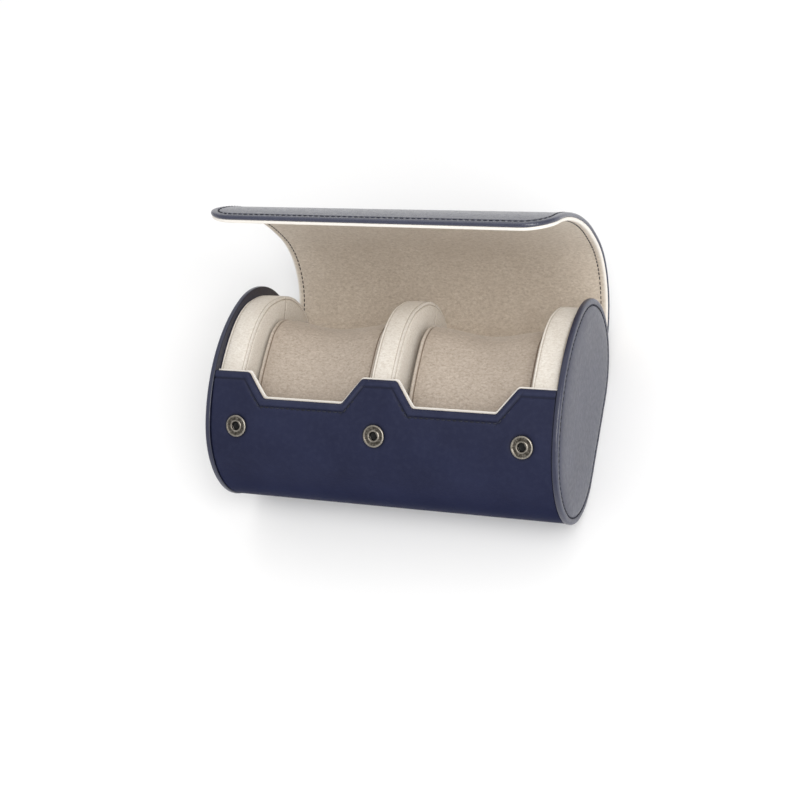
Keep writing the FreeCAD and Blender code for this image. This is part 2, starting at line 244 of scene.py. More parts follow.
def graded(lo, hi, spacing, n_int=8000):
    """Positions from lo to hi whose step follows spacing(x)."""
    x = np.linspace(lo, hi, n_int)
    dens = 1.0 / spacing(x)
    c = np.concatenate([[0], np.cumsum((dens[1:] + dens[:-1]) / 2 * np.diff(x))])
    n = max(2, int(round(c[-1])))
    return np.interp(np.linspace(0, c[-1], n + 1), c, x)


def near(x, centres, half, fine, coarse):
    d = np.min(np.abs(x[:, None] - np.asarray(centres)[None, :]), axis=1)
    return np.where(d < half, fine, np.minimum(coarse, fine + (d - half) * 0.35))


def edge_round(d, r):
    q = np.clip(d, 0, r)
    return r - np.sqrt(np.maximum(r * r - (r - q) ** 2, 0))


def bump(d, at, width):
    return np.exp(-(((d - at) / width) ** 2))


def fillet(pts, r, n=7):
    pts = [np.array(p, float) for p in pts]
    out = [pts[0]]
    for i in range(1, len(pts) - 1):
        a, b, c = pts[i - 1], pts[i], pts[i + 1]
        u, v = (a - b) / np.linalg.norm(a - b), (c - b) / np.linalg.norm(c - b)
        half = math.acos(np.clip(u @ v, -1, 1)) / 2
        t = r / math.tan(half)
        p0, p1 = b + u * t, b + v * t
        ctr = b + (u + v) / np.linalg.norm(u + v) * r / math.sin(half)
        a0 = math.atan2(*(p0 - ctr)[::-1])
        a1 = math.atan2(*(p1 - ctr)[::-1])
        da = (a1 - a0 + math.pi) % (2 * math.pi) - math.pi
        out += [ctr + r * np.array([math.cos(a0 + da * k / n), math.sin(a0 + da * k / n)]) for k in range(n + 1)]
    out.append(pts[-1])
    return np.array(out)


def offset_poly(pts, dist):
    """Polyline moved by dist to its left-hand side (x right, s down: into the panel)."""
    pts = np.array(pts, float)
    t = np.diff(pts, axis=0)
    t /= np.linalg.norm(t, axis=1)[:, None]
    nrm = np.stack([-t[:, 1], t[:, 0]], 1)
    out = [pts[0] + nrm[0] * dist]
    for i in range(1, len(pts) - 1):
        m = nrm[i - 1] + nrm[i]
        out.append(pts[i] + m * dist / (1 + nrm[i - 1] @ nrm[i]))
    out.append(pts[-1] + nrm[-1] * dist)
    return np.array(out)


def seg_dist(p, a, b):
    ab = b - a
    t = np.clip(((p - a) @ ab) / (ab @ ab), 0, 1)
    return np.linalg.norm(p - a - t[:, None] * ab, axis=1)


def poly_dist(p, poly):
    d = np.full(len(p), 1e9)
    for a, b in zip(poly[:-1], poly[1:]):
        d = np.minimum(d, seg_dist(p, a, b))
    return d


def tube(pts, rad, sides=6, up=None):
    """Closed round thread along points."""
    pts = np.asarray(pts, float)
    n = len(pts)
    rad = np.broadcast_to(np.asarray(rad, float), (n,))
    t = np.gradient(pts, axis=0)
    t /= np.linalg.norm(t, axis=1)[:, None] + 1e-12
    ref = np.asarray(up if up is not None else (0.31, 0.52, 0.79), float)
    ref = np.broadcast_to(ref, t.shape)
    b = np.cross(t, ref)
    b /= np.linalg.norm(b, axis=1)[:, None] + 1e-12
    c = np.cross(b, t)
    a = np.arange(sides) * 2 * math.pi / sides
    v = pts[:, None, :] + rad[:, None, None] * (np.cos(a)[None, :, None] * c[:, None, :] + np.sin(a)[None, :, None] * b[:, None, :])
    v = np.concatenate([v.reshape(-1, 3), pts[:1] - t[:1] * rad[0] * 0.4, pts[-1:] + t[-1:] * rad[-1] * 0.4])
    f = grid_faces(n, sides, closed_c=True)
    i0, i1 = n * sides, n * sides + 1
    f += [(i0, (k + 1) % sides, k) for k in range(sides)]
    f += [(i1, (n - 1) * sides + k, (n - 1) * sides + (k + 1) % sides) for k in range(sides)]
    return v, f


def stitch_row(build, line, place, pitch=2.75, share=0.72, rad=0.3, sink=0.34, lift=0.1, move=None):
    """Sewn stitches along a 2-D line; place(uv, height) puts a point on the surface."""
    line = np.asarray(line, float)
    d = np.concatenate([[0], np.cumsum(np.linalg.norm(np.diff(line, axis=0), axis=1))])
    n = max(1, int(round(d[-1] / pitch)))
    step = d[-1] / n
    k = np.linspace(0, 1, 7)
    h = lift - sink * (2 * k - 1) ** 4
    r = rad * (1 - 0.35 * (2 * k - 1) ** 6)
    for i in range(n):
        lean = 0.06 * (rng.random() - 0.5)
        at = (i + 0.5 + lean) * step + (k - 0.5) * step * share
        uv = np.stack([np.interp(at, d, line[:, 0]), np.interp(at, d, line[:, 1])], 1)
        p = place(uv, h)
        p0 = place(uv[3:4], h[3:4] + 1.0) - p[3:4]
        v, f = tube(p, r, 6, up=p0[0])
        if move is not None:
            v = move(v)
        build.add(v, f, tone=rng.random())


def lathe(profile, n, place, ripple=None):
    """Turned piece: profile of (r, h) from the rim's underside to the axis."""
    prof = np.array(profile, float)
    a = np.arange(n) * 2 * math.pi / n
    v = []
    for r, h in prof:
        hh = h + (ripple(r, a) if ripple is not None else 0.0)
        v.append(np.stack([r * np.cos(a), r * np.sin(a), np.broadcast_to(hh, a.shape)], 1))
    v = np.concatenate(v)
    f = grid_faces(len(prof), n, closed_c=True)
    top = len(v)
    v = np.concatenate([v, [[0, 0, prof[-1, 1]]], [[0, 0, prof[0, 1]]]])
    last = (len(prof) - 1) * n
    f += [(last + k, last + (k + 1) % n, top) for k in range(n)]
    f += [((k + 1) % n, k, top + 1) for k in range(n)]
    return place(v), f


def seat(x, y, z, ny, nz):
    """Local (right, up the surface, out) to the frame, at a point with outward normal."""
    def place(v):
        nrm = np.array([0.0, ny, nz])
        ex = np.array([1.0, 0, 0])
        ey = np.cross(nrm, ex)
        return np.array([x, y, z]) + v[:, :1] * ex + v[:, 1:2] * ey + v[:, 2:3] * nrm
    return place


# ------------------------------------------------------------------ materials
def mat_new(name):
    m = bpy.data.materials.new(name)
    m.use_nodes = True
    nt = m.node_tree
    nt.nodes.clear()
    out = nt.nodes.new("ShaderNodeOutputMaterial")
    bs = nt.nodes.new("ShaderNodeBsdfPrincipled")
    nt.links.new(bs.outputs[0], out.inputs[0])
    return m, nt, bs


def node(nt, kind, **sets):
    n = nt.nodes.new(kind)
    for k, v in sets.items():
        if k.startswith("i_"):
            n.inputs[k[2:].replace("_", " ")].default_value = v
        else:
            setattr(n, k, v)
    return n


def ramp(nt, src, stops):
    r = nt.nodes.new("ShaderNodeValToRGB")
    e = r.color_ramp.elements
    while len(e) < len(stops):
        e.new(0.5)
    for el, (pos, col) in zip(e, stops):
        el.position = pos
        el.color = (*col, 1) if len(col) == 3 else col
    nt.links.new(src, r.inputs[0])
    return r.outputs[0]


def grey(v):
    return (v, v, v)


def mixc(nt, fac, a, b, mode="MIX"):
    m = nt.nodes.new("ShaderNodeMix")
    m.data_type = "RGBA"
    m.blend_type = mode
    for sock, val in ((m.inputs[0], fac), (m.inputs[6], a), (m.inputs[7], b)):
        if hasattr(val, "is_linked") or hasattr(val, "links"):
            nt.links.new(val, sock)
        elif isinstance(val, (tuple, list)):
            sock.default_value = (*val, 1) if len(val) == 3 else val
        else:
            sock.default_value = val
    return m.outputs[2]


def math_node(nt, op, a, b=None):
    m = nt.nodes.new("ShaderNodeMath")
    m.operation = op
    for sock, val in zip(m.inputs, (a, b)):
        if val is None:
            continue
        if isinstance(val, (int, float)):
            sock.default_value = val
        else:
            nt.links.new(val, sock)
    return m.outputs[0]


def obj_coords(nt, scale=(1, 1, 1)):
    tc = nt.nodes.new("ShaderNodeTexCoord")
    mp = nt.nodes.new("ShaderNodeMapping")
    mp.inputs["Scale"].default_value = scale
    nt.links.new(tc.outputs["Object"], mp.inputs[0])
    return mp.outputs[0]


def noise(nt, co, scale, detail=3.0, rough=0.5, dist=0.0):
    n = node(nt, "ShaderNodeTexNoise")
    n.inputs["Scale"].default_value = scale
    n.inputs["Detail"].default_value = detail
    n.inputs["Roughness"].default_value = rough
    n.inputs["Distortion"].default_value = dist
    nt.links.new(co, n.inputs["Vector"])
    return n.outputs["Fac"]


def mark(nt, name):
    a = node(nt, "ShaderNodeAttribute")
    a.attribute_name = name
    return a.outputs["Fac"]


def bump_chain(nt, bs, layers):
    prev = None
    for height, dist, strength in layers:
        b = nt.nodes.new("ShaderNodeBump")
        b.inputs["Distance"].default_value = dist
        b.inputs["Strength"].default_value = strength
        nt.links.new(height, b.inputs["Height"])
        if prev is not None:
            nt.links.new(prev, b.inputs["Normal"])
        prev = b.outputs[0]
    nt.links.new(prev, bs.inputs["Normal"])


def leather_material(name, dark, light, worn_and_highlight, rough=(0.36, 0.5), spec=(0.24, 0.75)):
    m, nt, bs = mat_new(name)
    co = obj_coords(nt)
    cloud = noise(nt, co, 38.0, 4.0, 0.55)
    fine = noise(nt, co, 420.0, 3.0, 0.55)
    base = ramp(nt, cloud, [(0.32, dark), (0.7, light)])
    base = mixc(nt, ramp(nt, fine, [(0.45, grey(0.0)), (0.75, grey(0.16))]), base, worn_and_highlight)
    # lighter navy on rubbed edges, plus painted highlight on the puffed borders beside the stitching and along the end
    # caps' creased rims
    base = mixc(nt, math_node(nt, "MULTIPLY", mark(nt, "wear"), ramp(nt, noise(nt, co, 160.0, 4.0, 0.6), [(0.3, grey(0.25)), (0.7, grey(0.95))])), base, worn_and_highlight)
    # painted shade: navy darkened in stitch grooves, pressed creases, the rings round the snaps and where leather meets
    # the end caps
    base = mixc(nt, mark(nt, "seam"), base, tuple(c * 0.32 for c in dark))
    nt.links.new(base, bs.inputs["Base Color"])
    vor = node(nt, "ShaderNodeTexVoronoi", feature="SMOOTH_F1")
    vor.inputs["Scale"].default_value = 1250.0
    vor.inputs["Smoothness"].default_value = 0.6
    vor.inputs["Randomness"].default_value = 1.0
    nt.links.new(co, vor.inputs["Vector"])
    pores = noise(nt, co, 2600.0, 2.0, 0.5)
    rr = nt.nodes.new("ShaderNodeMapRange")
    rr.inputs["From Min"].default_value = 0.3
    rr.inputs["From Max"].default_value = 0.7
    rr.inputs["To Min"].default_value = rough[0]
    rr.inputs["To Max"].default_value = rough[1]
    nt.links.new(fine, rr.inputs["Value"])
    gloss = mark(nt, "gloss")
    nt.links.new(math_node(nt, "SUBTRACT", rr.outputs[0], math_node(nt, "MULTIPLY", gloss, 0.18)), bs.inputs["Roughness"])
    nt.links.new(math_node(nt, "ADD", math_node(nt, "MULTIPLY", gloss, spec[1] - spec[0]), spec[0]), bs.inputs["Specular IOR Level"])
    bump_chain(nt, bs, [
        (noise(nt, co, 120.0, 3.0, 0.5), 0.00022, 0.35),
        (vor.outputs["Distance"], 0.00013, 0.32),
        (pores, 0.00005, 0.25),
    ])
    return m


def suede_material(name, dark, mid, pale, nap=(1.0, 1.6, 1.6), depth=1.0, sheen=0.35, speck=1.0):
    m, nt, bs = mat_new(name)
    co = obj_coords(nt, nap)
    plain = obj_coords(nt)
    cloud = noise(nt, plain, 55.0, 4.0, 0.6, 0.4)
    clump = noise(nt, co, 620.0 * speck, 4.0, 0.62, 0.6)
    fibre = noise(nt, co, 2300.0 * speck, 3.0, 0.6)
    base = ramp(nt, clump, [(0.30, dark), (0.5, mid), (0.70, pale)])
    base = mixc(nt, ramp(nt, cloud, [(0.35, grey(0.0)), (0.7, grey(0.28))]), base, dark)
    base = mixc(nt, ramp(nt, fibre, [(0.42, grey(0.0)), (0.72, grey(0.42))]), base, pale)
    # pale cream on the lining's cut edges, plus painted highlight along partition rim folds and pillow roll edges
    base = mixc(nt, mark(nt, "wear"), base, (0.86, 0.82, 0.76))
    # painted shade: suede darkened in the sewn grooves of the lining, partitions and pillows
    base = mixc(nt, mark(nt, "seam"), base, tuple(c * f for c, f in zip(dark, (0.34, 0.27, 0.2))))
    nt.links.new(base, bs.inputs["Base Color"])
    bs.inputs["Roughness"].default_value = 0.92
    bs.inputs["Specular IOR Level"].default_value = 0.18
    bs.inputs["Sheen Weight"].default_value = sheen
    bs.inputs["Sheen Roughness"].default_value = 0.45
    bs.inputs["Sheen Tint"].default_value = (1.0, 0.95, 0.88, 1)
    bump_chain(nt, bs, [
        (cloud, 0.0005, 0.25),
        (clump, 0.00030 * depth, 0.5),
        (fibre, 0.00016 * depth, 0.6),
    ])
    return m


def thread_material(name, dark, light):
    m, nt, bs = mat_new(name)
    co = obj_coords(nt)
    tone = mark(nt, "tone")
    ply = noise(nt, co, 3200.0, 2.0, 0.6)
    base = mixc(nt, ramp(nt, math_node(nt, "ADD", math_node(nt, "MULTIPLY", tone, 0.4), math_node(nt, "MULTIPLY", ply, 0.6)), [(0.3, grey(0)), (0.75, grey(1))]), dark, light)
    nt.links.new(base, bs.inputs["Base Color"])
    bs.inputs["Roughness"].default_value = 0.55
    bump_chain(nt, bs, [(ply, 0.0001, 0.6)])
    return m


def metal_material(name, dark, mid, bright, rough=(0.24, 0.5), metal=1.0):
    m, nt, bs = mat_new(name)
    co = obj_coords(nt)
    spots = noise(nt, co, 900.0, 4.0, 0.65)
    brush = noise(nt, obj_coords(nt, (1, 6, 6)), 700.0, 3.0, 0.6)
    base = ramp(nt, spots, [(0.3, dark), (0.52, mid), (0.75, bright)])
    # painted shade: metal darkened in the snap sockets' recesses
    base = mixc(nt, mark(nt, "seam"), base, tuple(c * 0.18 for c in dark))
    # painted highlight: bright metal on the snap sockets' rims and the studs' crowns
    base = mixc(nt, mark(nt, "wear"), base, bright)
    nt.links.new(base, bs.inputs["Base Color"])
    bs.inputs["Metallic"].default_value = metal
    rr = nt.nodes.new("ShaderNodeMapRange")
    rr.inputs["From Min"].default_value = 0.3
    rr.inputs["From Max"].default_value = 0.7
    rr.inputs["To Min"].default_value = rough[0]
    rr.inputs["To Max"].default_value = rough[1]
    nt.links.new(spots, rr.inputs["Value"])
    nt.links.new(rr.outputs[0], bs.inputs["Roughness"])
    bump_chain(nt, bs, [(brush, 0.00004, 0.5), (spots, 0.00006, 0.4)])
    return m


NAVY = leather_material("navy_leather", (0.0085, 0.0110, 0.036), (0.0125, 0.0160, 0.047), (0.036, 0.042, 0.082), rough=(0.47, 0.58))
LINING = suede_material("taupe_suede", (0.460, 0.385, 0.310), (0.600, 0.520, 0.430), (0.720, 0.645, 0.555))
CREAM = suede_material("cream_suede", (0.620, 0.560, 0.485), (0.745, 0.695, 0.622), (0.850, 0.810, 0.748), speck=1.25, depth=0.8, sheen=0.25)
PILLOW = suede_material("pillow_suede", (0.355, 0.292, 0.236), (0.480, 0.408, 0.340), (0.600, 0.528, 0.455), speck=1.1, depth=0.8)
THREAD = thread_material("navy_thread", (0.0035, 0.0042, 0.011), (0.012, 0.015, 0.035))
THREAD_IN = thread_material("dark_thread", (0.030, 0.026, 0.030), (0.085, 0.075, 0.075))
NICKEL = metal_material("antique_nickel", (0.045, 0.040, 0.032), (0.17, 0.150, 0.125), (0.44, 0.41, 0.36), rough=(0.2, 0.42))
GUN = metal_material("stud_metal", (0.035, 0.032, 0.030), (0.085, 0.080, 0.074), (0.24, 0.22, 0.20))
# painted shade: a near-black, non-metallic stand-in for the shaded socket holes
WELL_SHADE = metal_material("socket_well_shade", (0.006, 0.005, 0.005), (0.010, 0.009, 0.008), (0.018, 0.016, 0.015), rough=(0.6, 0.8), metal=0.0)

# ------------------------------------------------------------------ front panel's edge
EDGE_LOW = R_TOP * math.radians(PANEL_LOW - PANEL_TOP)
EDGE_PTS = [(-90, 0), (-66.9, 0), (-57.6, EDGE_LOW), (-17.4, EDGE_LOW), (-8.6, 0), (8.6, 0), (17.4, EDGE_LOW), (57.6, EDGE_LOW), (66.9, 0), (90, 0)]
EDGE = fillet(EDGE_PTS, 2.2)
LINING_EDGE = fillet(offset_poly(EDGE_PTS, -1.0), 1.9)
STITCH_IN = 3.3
SEW = offset_poly(EDGE_PTS, STITCH_IN)
SNAP_X = (-70.7, 0.0, 70.7)
SNAP_S = R_TOP * math.radians(119.6 - PANEL_TOP)
LID_HALF, LID_CORNER, LID_SEW = 84.3, 15.0, 3.6
CASE_HALF = 84.45
LID_WALL, LID_LINING, LID_IN = 1.9, 1.6, 0.45


def wall_t(s):
    """Leather and board together: thicker in the case than in the lid."""
    return 3.0 - (3.0 - LID_WALL) * soft_step((s - 150.0) / 36.0)


def lining_t(s):
    return 0.8 + (LID_LINING - 0.8) * soft_step((s - 150.0) / 36.0)


def half_width(s):
    return CASE_HALF - (CASE_HALF - LID_HALF) * soft_step((s - 160.0) / 28.0)


# creases pressed along the sewing line run on a little past its corners
CREASE = []
for a_, b_ in zip(SEW[:-1], SEW[1:]):
    t_ = (b_ - a_) / np.linalg.norm(b_ - a_)
    CREASE.append((a_ - t_ * 1.8, b_ + t_ * 1.8))

# ------------------------------------------------------------------ wrap: leather
xs = graded(-1.0, 1.0, lambda u: np.minimum(
    near(u * CASE_HALF, [s * c for c in (8.6, 17.4, 57.6, 66.9) for s in (-1, 1)], 2.6, 0.42, 1.25),
    np.minimum(near(u * CASE_HALF, SNAP_X, 6.8, 0.75, 1.25), near(u * CASE_HALF, (-CASE_HALF, CASE_HALF), 0.9, 0.16, 1.25))) / CASE_HALF)
xs = np.unique(np.concatenate([xs, [-1.0, 1.0]]))
edge_rows = np.concatenate([1.5 * (1 - np.cos(np.linspace(0, math.pi / 2, 7)))[:-1], np.arange(1.5, 6.3, 0.22), [6.6, 7.2, 8.0]])
flat_rows = np.concatenate([np.linspace(0.12, 1.0, 26)])
tail_rows = graded(36.0, S_SPLIT, lambda s: np.where((s > 110) & (s < 158), 2.6, 1.5))[1:]
tail_rows = np.concatenate([tail_rows[:-1], [S_SPLIT - 0.06, S_SPLIT]])
NCOL = len(xs)


def wrap_grid(edge, rows0):
    """(x, s) of every grid point: rows follow the scooped edge, then straighten."""
    x0 = xs * CASE_HALF
    se = np.interp(x0, edge[:, 0], edge[:, 1])
    rows = [se + d for d in rows0]
    for t in flat_rows:
        rows.append((se + rows0[-1]) * (1 - t) + 36.0 * t)
    rows += [np.full(NCOL, s) for s in tail_rows]
    s = np.array(rows)
    x = xs[None, :] * half_width(s)
    return x, s


gx, gs = wrap_grid(EDGE, edge_rows)
P2 = np.column_stack([gx.ravel(), gs.ravel()])
front = P2[:, 1] < 32
d_edge = np.full(len(P2), 99.0)
d_edge[front] = poly_dist(P2[front], EDGE)
d_sew = np.full(len(P2), 99.0)
d_crease = np.full(len(P2), 99.0)
for a_, b_ in zip(SEW[:-1], SEW[1:]):
    d_sew[front] = np.minimum(d_sew[front], seg_dist(P2[front], a_, b_))
for a_, b_ in CREASE:
    d_crease[front] = np.minimum(d_crease[front], seg_dist(P2[front], a_, b_))
S, X = P2[:, 1], P2[:, 0]
HWs = half_width(S)
d_side = HWs - np.abs(X)
T = wall_t(S)
lid_part = soft_step((S - 172.0) / 18.0)
r_side = 0.55 + (T / 2 - 0.02 - 0.55) * lid_part
d_snap = np.min([np.hypot(X - sx, S - SNAP_S) for sx in SNAP_X], axis=0)
sew_mark = bump(d_sew, 0, 0.34)
out_d = np.maximum(edge_round(d_edge, 1.49), edge_round(d_side, r_side))
out_d = out_d + 0.36 * bump(d_sew, 0, 0.55) + 0.12 * bump(d_crease, 0, 0.36) - 0.24 * bump(d_edge, 1.9, 1.0) * (d_edge > 0.4) - 0.08 * bump(d_sew, 1.5, 0.9)
out_d = out_d + 0.22 * bump(d_snap, 5.5, 0.9) - 0.05 * bump(d_snap, 7.6, 1.2) + 2.2 * soft_step((4.8 - d_snap) / 1.6)
lid_sew = bump(d_side, LID_SEW, 0.42) * lid_part
out_d = out_d + 0.28 * lid_sew - 0.15 * bump(d_side, 1.9, 1.0) * lid_part
in_d = T - np.maximum(edge_round(d_edge, 1.49), edge_round(d_side, np.where(lid_part > 0.01, r_side, 0.3)))
# lighter along rubbed edges and the stitching; the band on the puffed border 1.9 mm in from the edge is painted
# highlight
wear = np.clip(0.65 * bump(d_edge, 0.5, 0.7) + 0.35 * bump(d_edge, 1.9, 1.0) + 0.35 * bump(d_sew, 0.0, 1.1) + (0.5 * bump(d_side, 0.5, 0.6) + 0.4 * bump(d_side, LID_SEW, 1.1)) * lid_part, 0, 1)
# painted shade along the stitch line, the creases, the ring pressed round each snap, the side edges against the end
# caps and the lid's side stitching
seam = np.clip(0.35 * sew_mark + 0.30 * bump(d_crease, 0, 0.4) + 0.6 * bump(d_snap, 5.45, 0.45) + 0.6 * bump(d_side, 0, 0.45) * (1 - lid_part) + 0.3 * lid_sew, 0, 1)


def sheet_solid(name, x, s, outer, inner, nr, nc, mats, marks, zone):
    """Closed sheet from its outer and inner faces on one grid, opened with the lid."""
    yo, zo, _, _ = path(s, outer)
    yi, zi, _, _ = path(s, inner)
    v = np.concatenate([np.column_stack([x, yo, zo]), np.column_stack([x, yi, zi])])
    n = nr * nc
    f = grid_faces(nr, nc, flip=True) + grid_faces(nr, nc, start=n)
    loop = list(range(nc)) + [r * nc + nc - 1 for r in range(1, nr)] + [(nr - 1) * nc + c for c in range(nc - 2, -1, -1)] + [r * nc for r in range(nr - 2, 0, -1)]
    side = [(a, b, b + n, a + n) for a, b in zip(loop, loop[1:] + loop[:1])]
    row_of = [(a // nc, b // nc) for a, b in zip(loop, loop[1:] + loop[:1])]
    cut = nr - 1 if zone == 1 else 0
    flat = [len(f) + i for i, (a, b) in enumerate(row_of) if a == cut and b == cut]
    f += side
    v = open_zone(v, zone)
    ob = make(name, v, f, mats, {k: np.concatenate([a, a if k in ("wear", "gloss") else 0 * a]) for k, a in marks.items()}, None, flat)
    blend_zone(ob)
    return ob


wrap = sheet_solid("wrap_leather", X, S, out_d, in_d, len(gs), NCOL, NAVY, {"wear": wear, "seam": seam, "gloss": soft_step((S - 90.0) / 110.0) - 0.42 * bump(S, 62.0, 20.0)}, 1)
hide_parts("base_leather", "base_board", "lid_top_leather", "lid_top_board")

# ------------------------------------------------------------------ wrap: lining
lin_rows = np.concatenate([0.4 * (1 - np.cos(np.linspace(0, math.pi / 2, 5)))[:-1], [0.4, 0.8, 1.3, 2.0, 3.0, 4.5, 6.5, 8.0]])
lx, ls = wrap_grid(LINING_EDGE, lin_rows)
ls1, lx1 = ls.ravel(), lx.ravel()
lhw = np.where(ls1 < 165, 84.3, 84.3 - (84.3 - (LID_HALF - LID_IN)) * soft_step((ls1 - 165) / 26.0))
lx1 = lx1 / half_width(ls1) * lhw
fl = ls1 < 32
dl_edge = np.full(len(ls1), 99.0)
dl_edge[fl] = poly_dist(np.column_stack([lx1, ls1])[fl], LINING_EDGE)
dl_side = lhw - np.abs(lx1)
l_lid = soft_step((ls1 - 172.0) / 18.0)
tl = lining_t(ls1)
lr = np.maximum(edge_round(dl_edge, 0.38), edge_round(dl_side, 0.72) * l_lid)
l_sew = bump(dl_side, LID_SEW - LID_IN, 0.45) * l_lid
l_out = wall_t(ls1) - 0.04 + lr * 0.25
l_in = wall_t(ls1) + tl - lr - 0.22 * l_sew
lin_wear = np.clip(1.1 * bump(dl_edge, 0.0, 1.1) + 1.1 * bump(dl_side, 0.0, 1.15) * l_lid, 0, 1)
# painted shade in the lining's sewn groove along the lid sides
lining = sheet_solid("wrap_lining", lx1, ls1, l_out, l_in, len(ls), NCOL, LINING, {"wear": lin_wear, "seam": 0.25 * l_sew}, 1)
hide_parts("base_lining", "lid_top_lining")


# ------------------------------------------------------------------ lid: leather and lining
def lid_grid(half, corner, s_end, ins, s0):
    """Sheet with two rounded free corners; ins are the near-edge distances."""
    ins = np.asarray(ins, float)
    mid = np.linspace(0, half - ins[-1], 62)[1:-1]
    e = np.concatenate([half - ins, mid[::-1]])            # from the edge to the middle
    cols = np.concatenate([-e, [0.0], e[::-1]])
    frac = np.concatenate([ins, half - mid[::-1]])
    top = s_end - corner
    t = np.radians(np.concatenate([np.arange(0, 60, 5.0), np.arange(60, 80, 2.5), np.arange(80, 90.1, 1.6), [90.0]]))
    t = np.unique(np.clip(t, 0, math.pi / 2))
    rows = np.concatenate([[s0, s0 + 0.06], graded(s0 + 0.06, top, lambda s: np.full(s.shape, 1.5))[1:], top + corner * np.sin(t[1:])])
    rows[-1] = s_end
    hw = np.where(rows <= top, half, half - corner + np.sqrt(np.maximum(corner ** 2 - (rows - top) ** 2, 0)))
    x = np.zeros((len(rows), len(cols)))
    for i, h in enumerate(hw):
        inset = frac * (h / half) if h < half else frac
        left = -(h - inset)
        x[i] = np.concatenate([left, [0.0], -left[::-1]])
    s = np.repeat(rows[:, None], len(cols), 1)
    # distance to the free outline in the flat sheet
    qx, qs = np.abs(x) - (half - corner), s - top
    d_out = np.minimum(half - np.abs(x), s_end - s)
    cor = (qx > 0) & (qs > 0)
    d_out = np.where(cor, corner - np.hypot(qx, qs), d_out)
    return x, s, np.maximum(d_out, 0)


NOSE = LID_WALL / 2 - 0.02
nose = (NOSE + 0.02) * (1 - np.cos(np.linspace(0, math.pi / 2, 7)))
ins_l = np.concatenate([nose, np.arange(1.2, 5.2, 0.24), [5.6, 6.3, 7.3]])
mx, ms, md = lid_grid(LID_HALF, LID_CORNER, S_END, ins_l, S_SPLIT)
nr, nc = mx.shape
mx, ms, md = mx.ravel(), ms.ravel(), md.ravel()
g = bump(md, LID_SEW, 0.42)
o_d = edge_round(md, NOSE) + 0.34 * g - 0.15 * bump(md, 1.9, 1.0) * (md > 0.3) - 0.08 * bump(md, LID_SEW + 1.5, 0.9)
i_d = LID_WALL - edge_round(md, NOSE)
# lighter rubbed edge and stitching; the band on the puffed border 1.9 mm in is painted highlight
lid_wear = np.clip(0.7 * bump(md, 0.5, 0.7) + 0.3 * bump(md, 1.9, 1.0) + 0.4 * bump(md, LID_SEW, 1.1), 0, 1)
# painted shade along the lid's stitch groove
lid_leather = sheet_solid("lid_leather", mx, ms, o_d, i_d, nr, nc, NAVY, {"wear": lid_wear, "seam": np.clip(0.35 * g, 0, 1), "gloss": 1.0 + 0.45 * soft_step((ms - 240.0) / 40.0)}, 2)
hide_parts("lid_front_leather", "lid_front_board")

nose2 = 0.74 * (1 - np.cos(np.linspace(0, math.pi / 2, 6)))
ins_i = np.concatenate([nose2, [0.95, 1.2, 1.5, 1.8, 2.1, 2.35, 2.6, 2.8, 2.95, 3.1, 3.25, 3.4, 3.55, 3.75, 4.0, 4.4, 5.0, 6.0]])
kx, ks, kd = lid_grid(LID_HALF - LID_IN, LID_CORNER - LID_IN, S_END - LID_IN, ins_i, S_SPLIT)
nr2, nc2 = kx.shape
kx, ks, kd = kx.ravel(), ks.ravel(), kd.ravel()
g2 = bump(kd, LID_SEW - LID_IN, 0.45)
er = edge_round(kd, 0.72)
LID_DEPTH = LID_WALL + LID_LINING
# painted shade in the lid lining's sewn groove
lid_lining = sheet_solid("lid_lining", kx, ks, LID_WALL - 0.04 + er * 0.25, LID_DEPTH - er - 0.22 * g2, nr2, nc2, LINING,
                         {"wear": np.clip(1.1 * bump(kd, 0.0, 1.15), 0, 1), "seam": 0.25 * g2}, 2)
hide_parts("lid_front_lining")

# ------------------------------------------------------------------ sewing
front_sew = Build()


def on_front(uv, h):
    y, z, _, _ = path(uv[:, 1], 0.12 - h)
    return np.column_stack([uv[:, 0], y, z])


for a_, b_ in zip(SEW[:-1], SEW[1:]):
    a_, b_ = np.array(a_), np.array(b_)
    if a_[0] < -83.4:
        a_ = np.array([-83.4, a_[1]])
    if b_[0] > 83.4:
        b_ = np.array([83.4, b_[1]])
    stitch_row(front_sew, [a_, b_], on_front)
ob = front_sew.ob("front_panel_stitching", THREAD)
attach(ob, "case")


def lid_line(dist, s0, s1):
    """Sewing line at a distance inside the lid's edge, between two arc lengths."""
    c, r = LID_HALF - LID_CORNER, LID_CORNER - dist
    top = S_END - LID_CORNER
    side = LID_HALF - dist
    left = [(-side, s) for s in np.arange(s0, min(s1, top), 0.5)]
    if s1 <= top:
        return [np.array(left), np.array([(-x, s) for x, s in left])]
    arc = [(-c - r * math.cos(a), top + r * math.sin(a)) for a in np.linspace(0, math.pi / 2, 24)]
    half = left + arc
    return [np.array(half + [(-x, s) for x, s in half[::-1]])]


for nm, s0, s1, zone in (("lower", 188.0, S_SPLIT, 1), ("upper", S_SPLIT, S_END, 2)):
    for face, mat in (("outer", THREAD), ("inner", THREAD_IN)):
        bld = Build()
        for ln in lid_line(LID_SEW, s0, s1):
            if face == "outer":
                put = lambda uv, h: np.column_stack([uv[:, 0], *path(uv[:, 1], 0.12 - h)[:2]])
            else:
                put = lambda uv, h: np.column_stack([uv[:, 0], *path(uv[:, 1], LID_DEPTH - 0.12 + h)[:2]])
            stitch_row(bld, ln, put, rad=0.33 if face == "outer" else 0.27)
        ob = bld.ob("lid_%s_stitching_%s" % (face, nm), mat, move=lambda v, z=zone: open_zone(v, z))
        blend_zone(ob)


# ------------------------------------------------------------------ press studs
def socket_ripple(r, a):
    if 2.95 < r < 4.25:
        return 0.10 * np.maximum(0, np.cos(22 * a)) ** 2 * math.exp(-(((r - 3.6) / 0.42) ** 2))
    return 0.0 * a


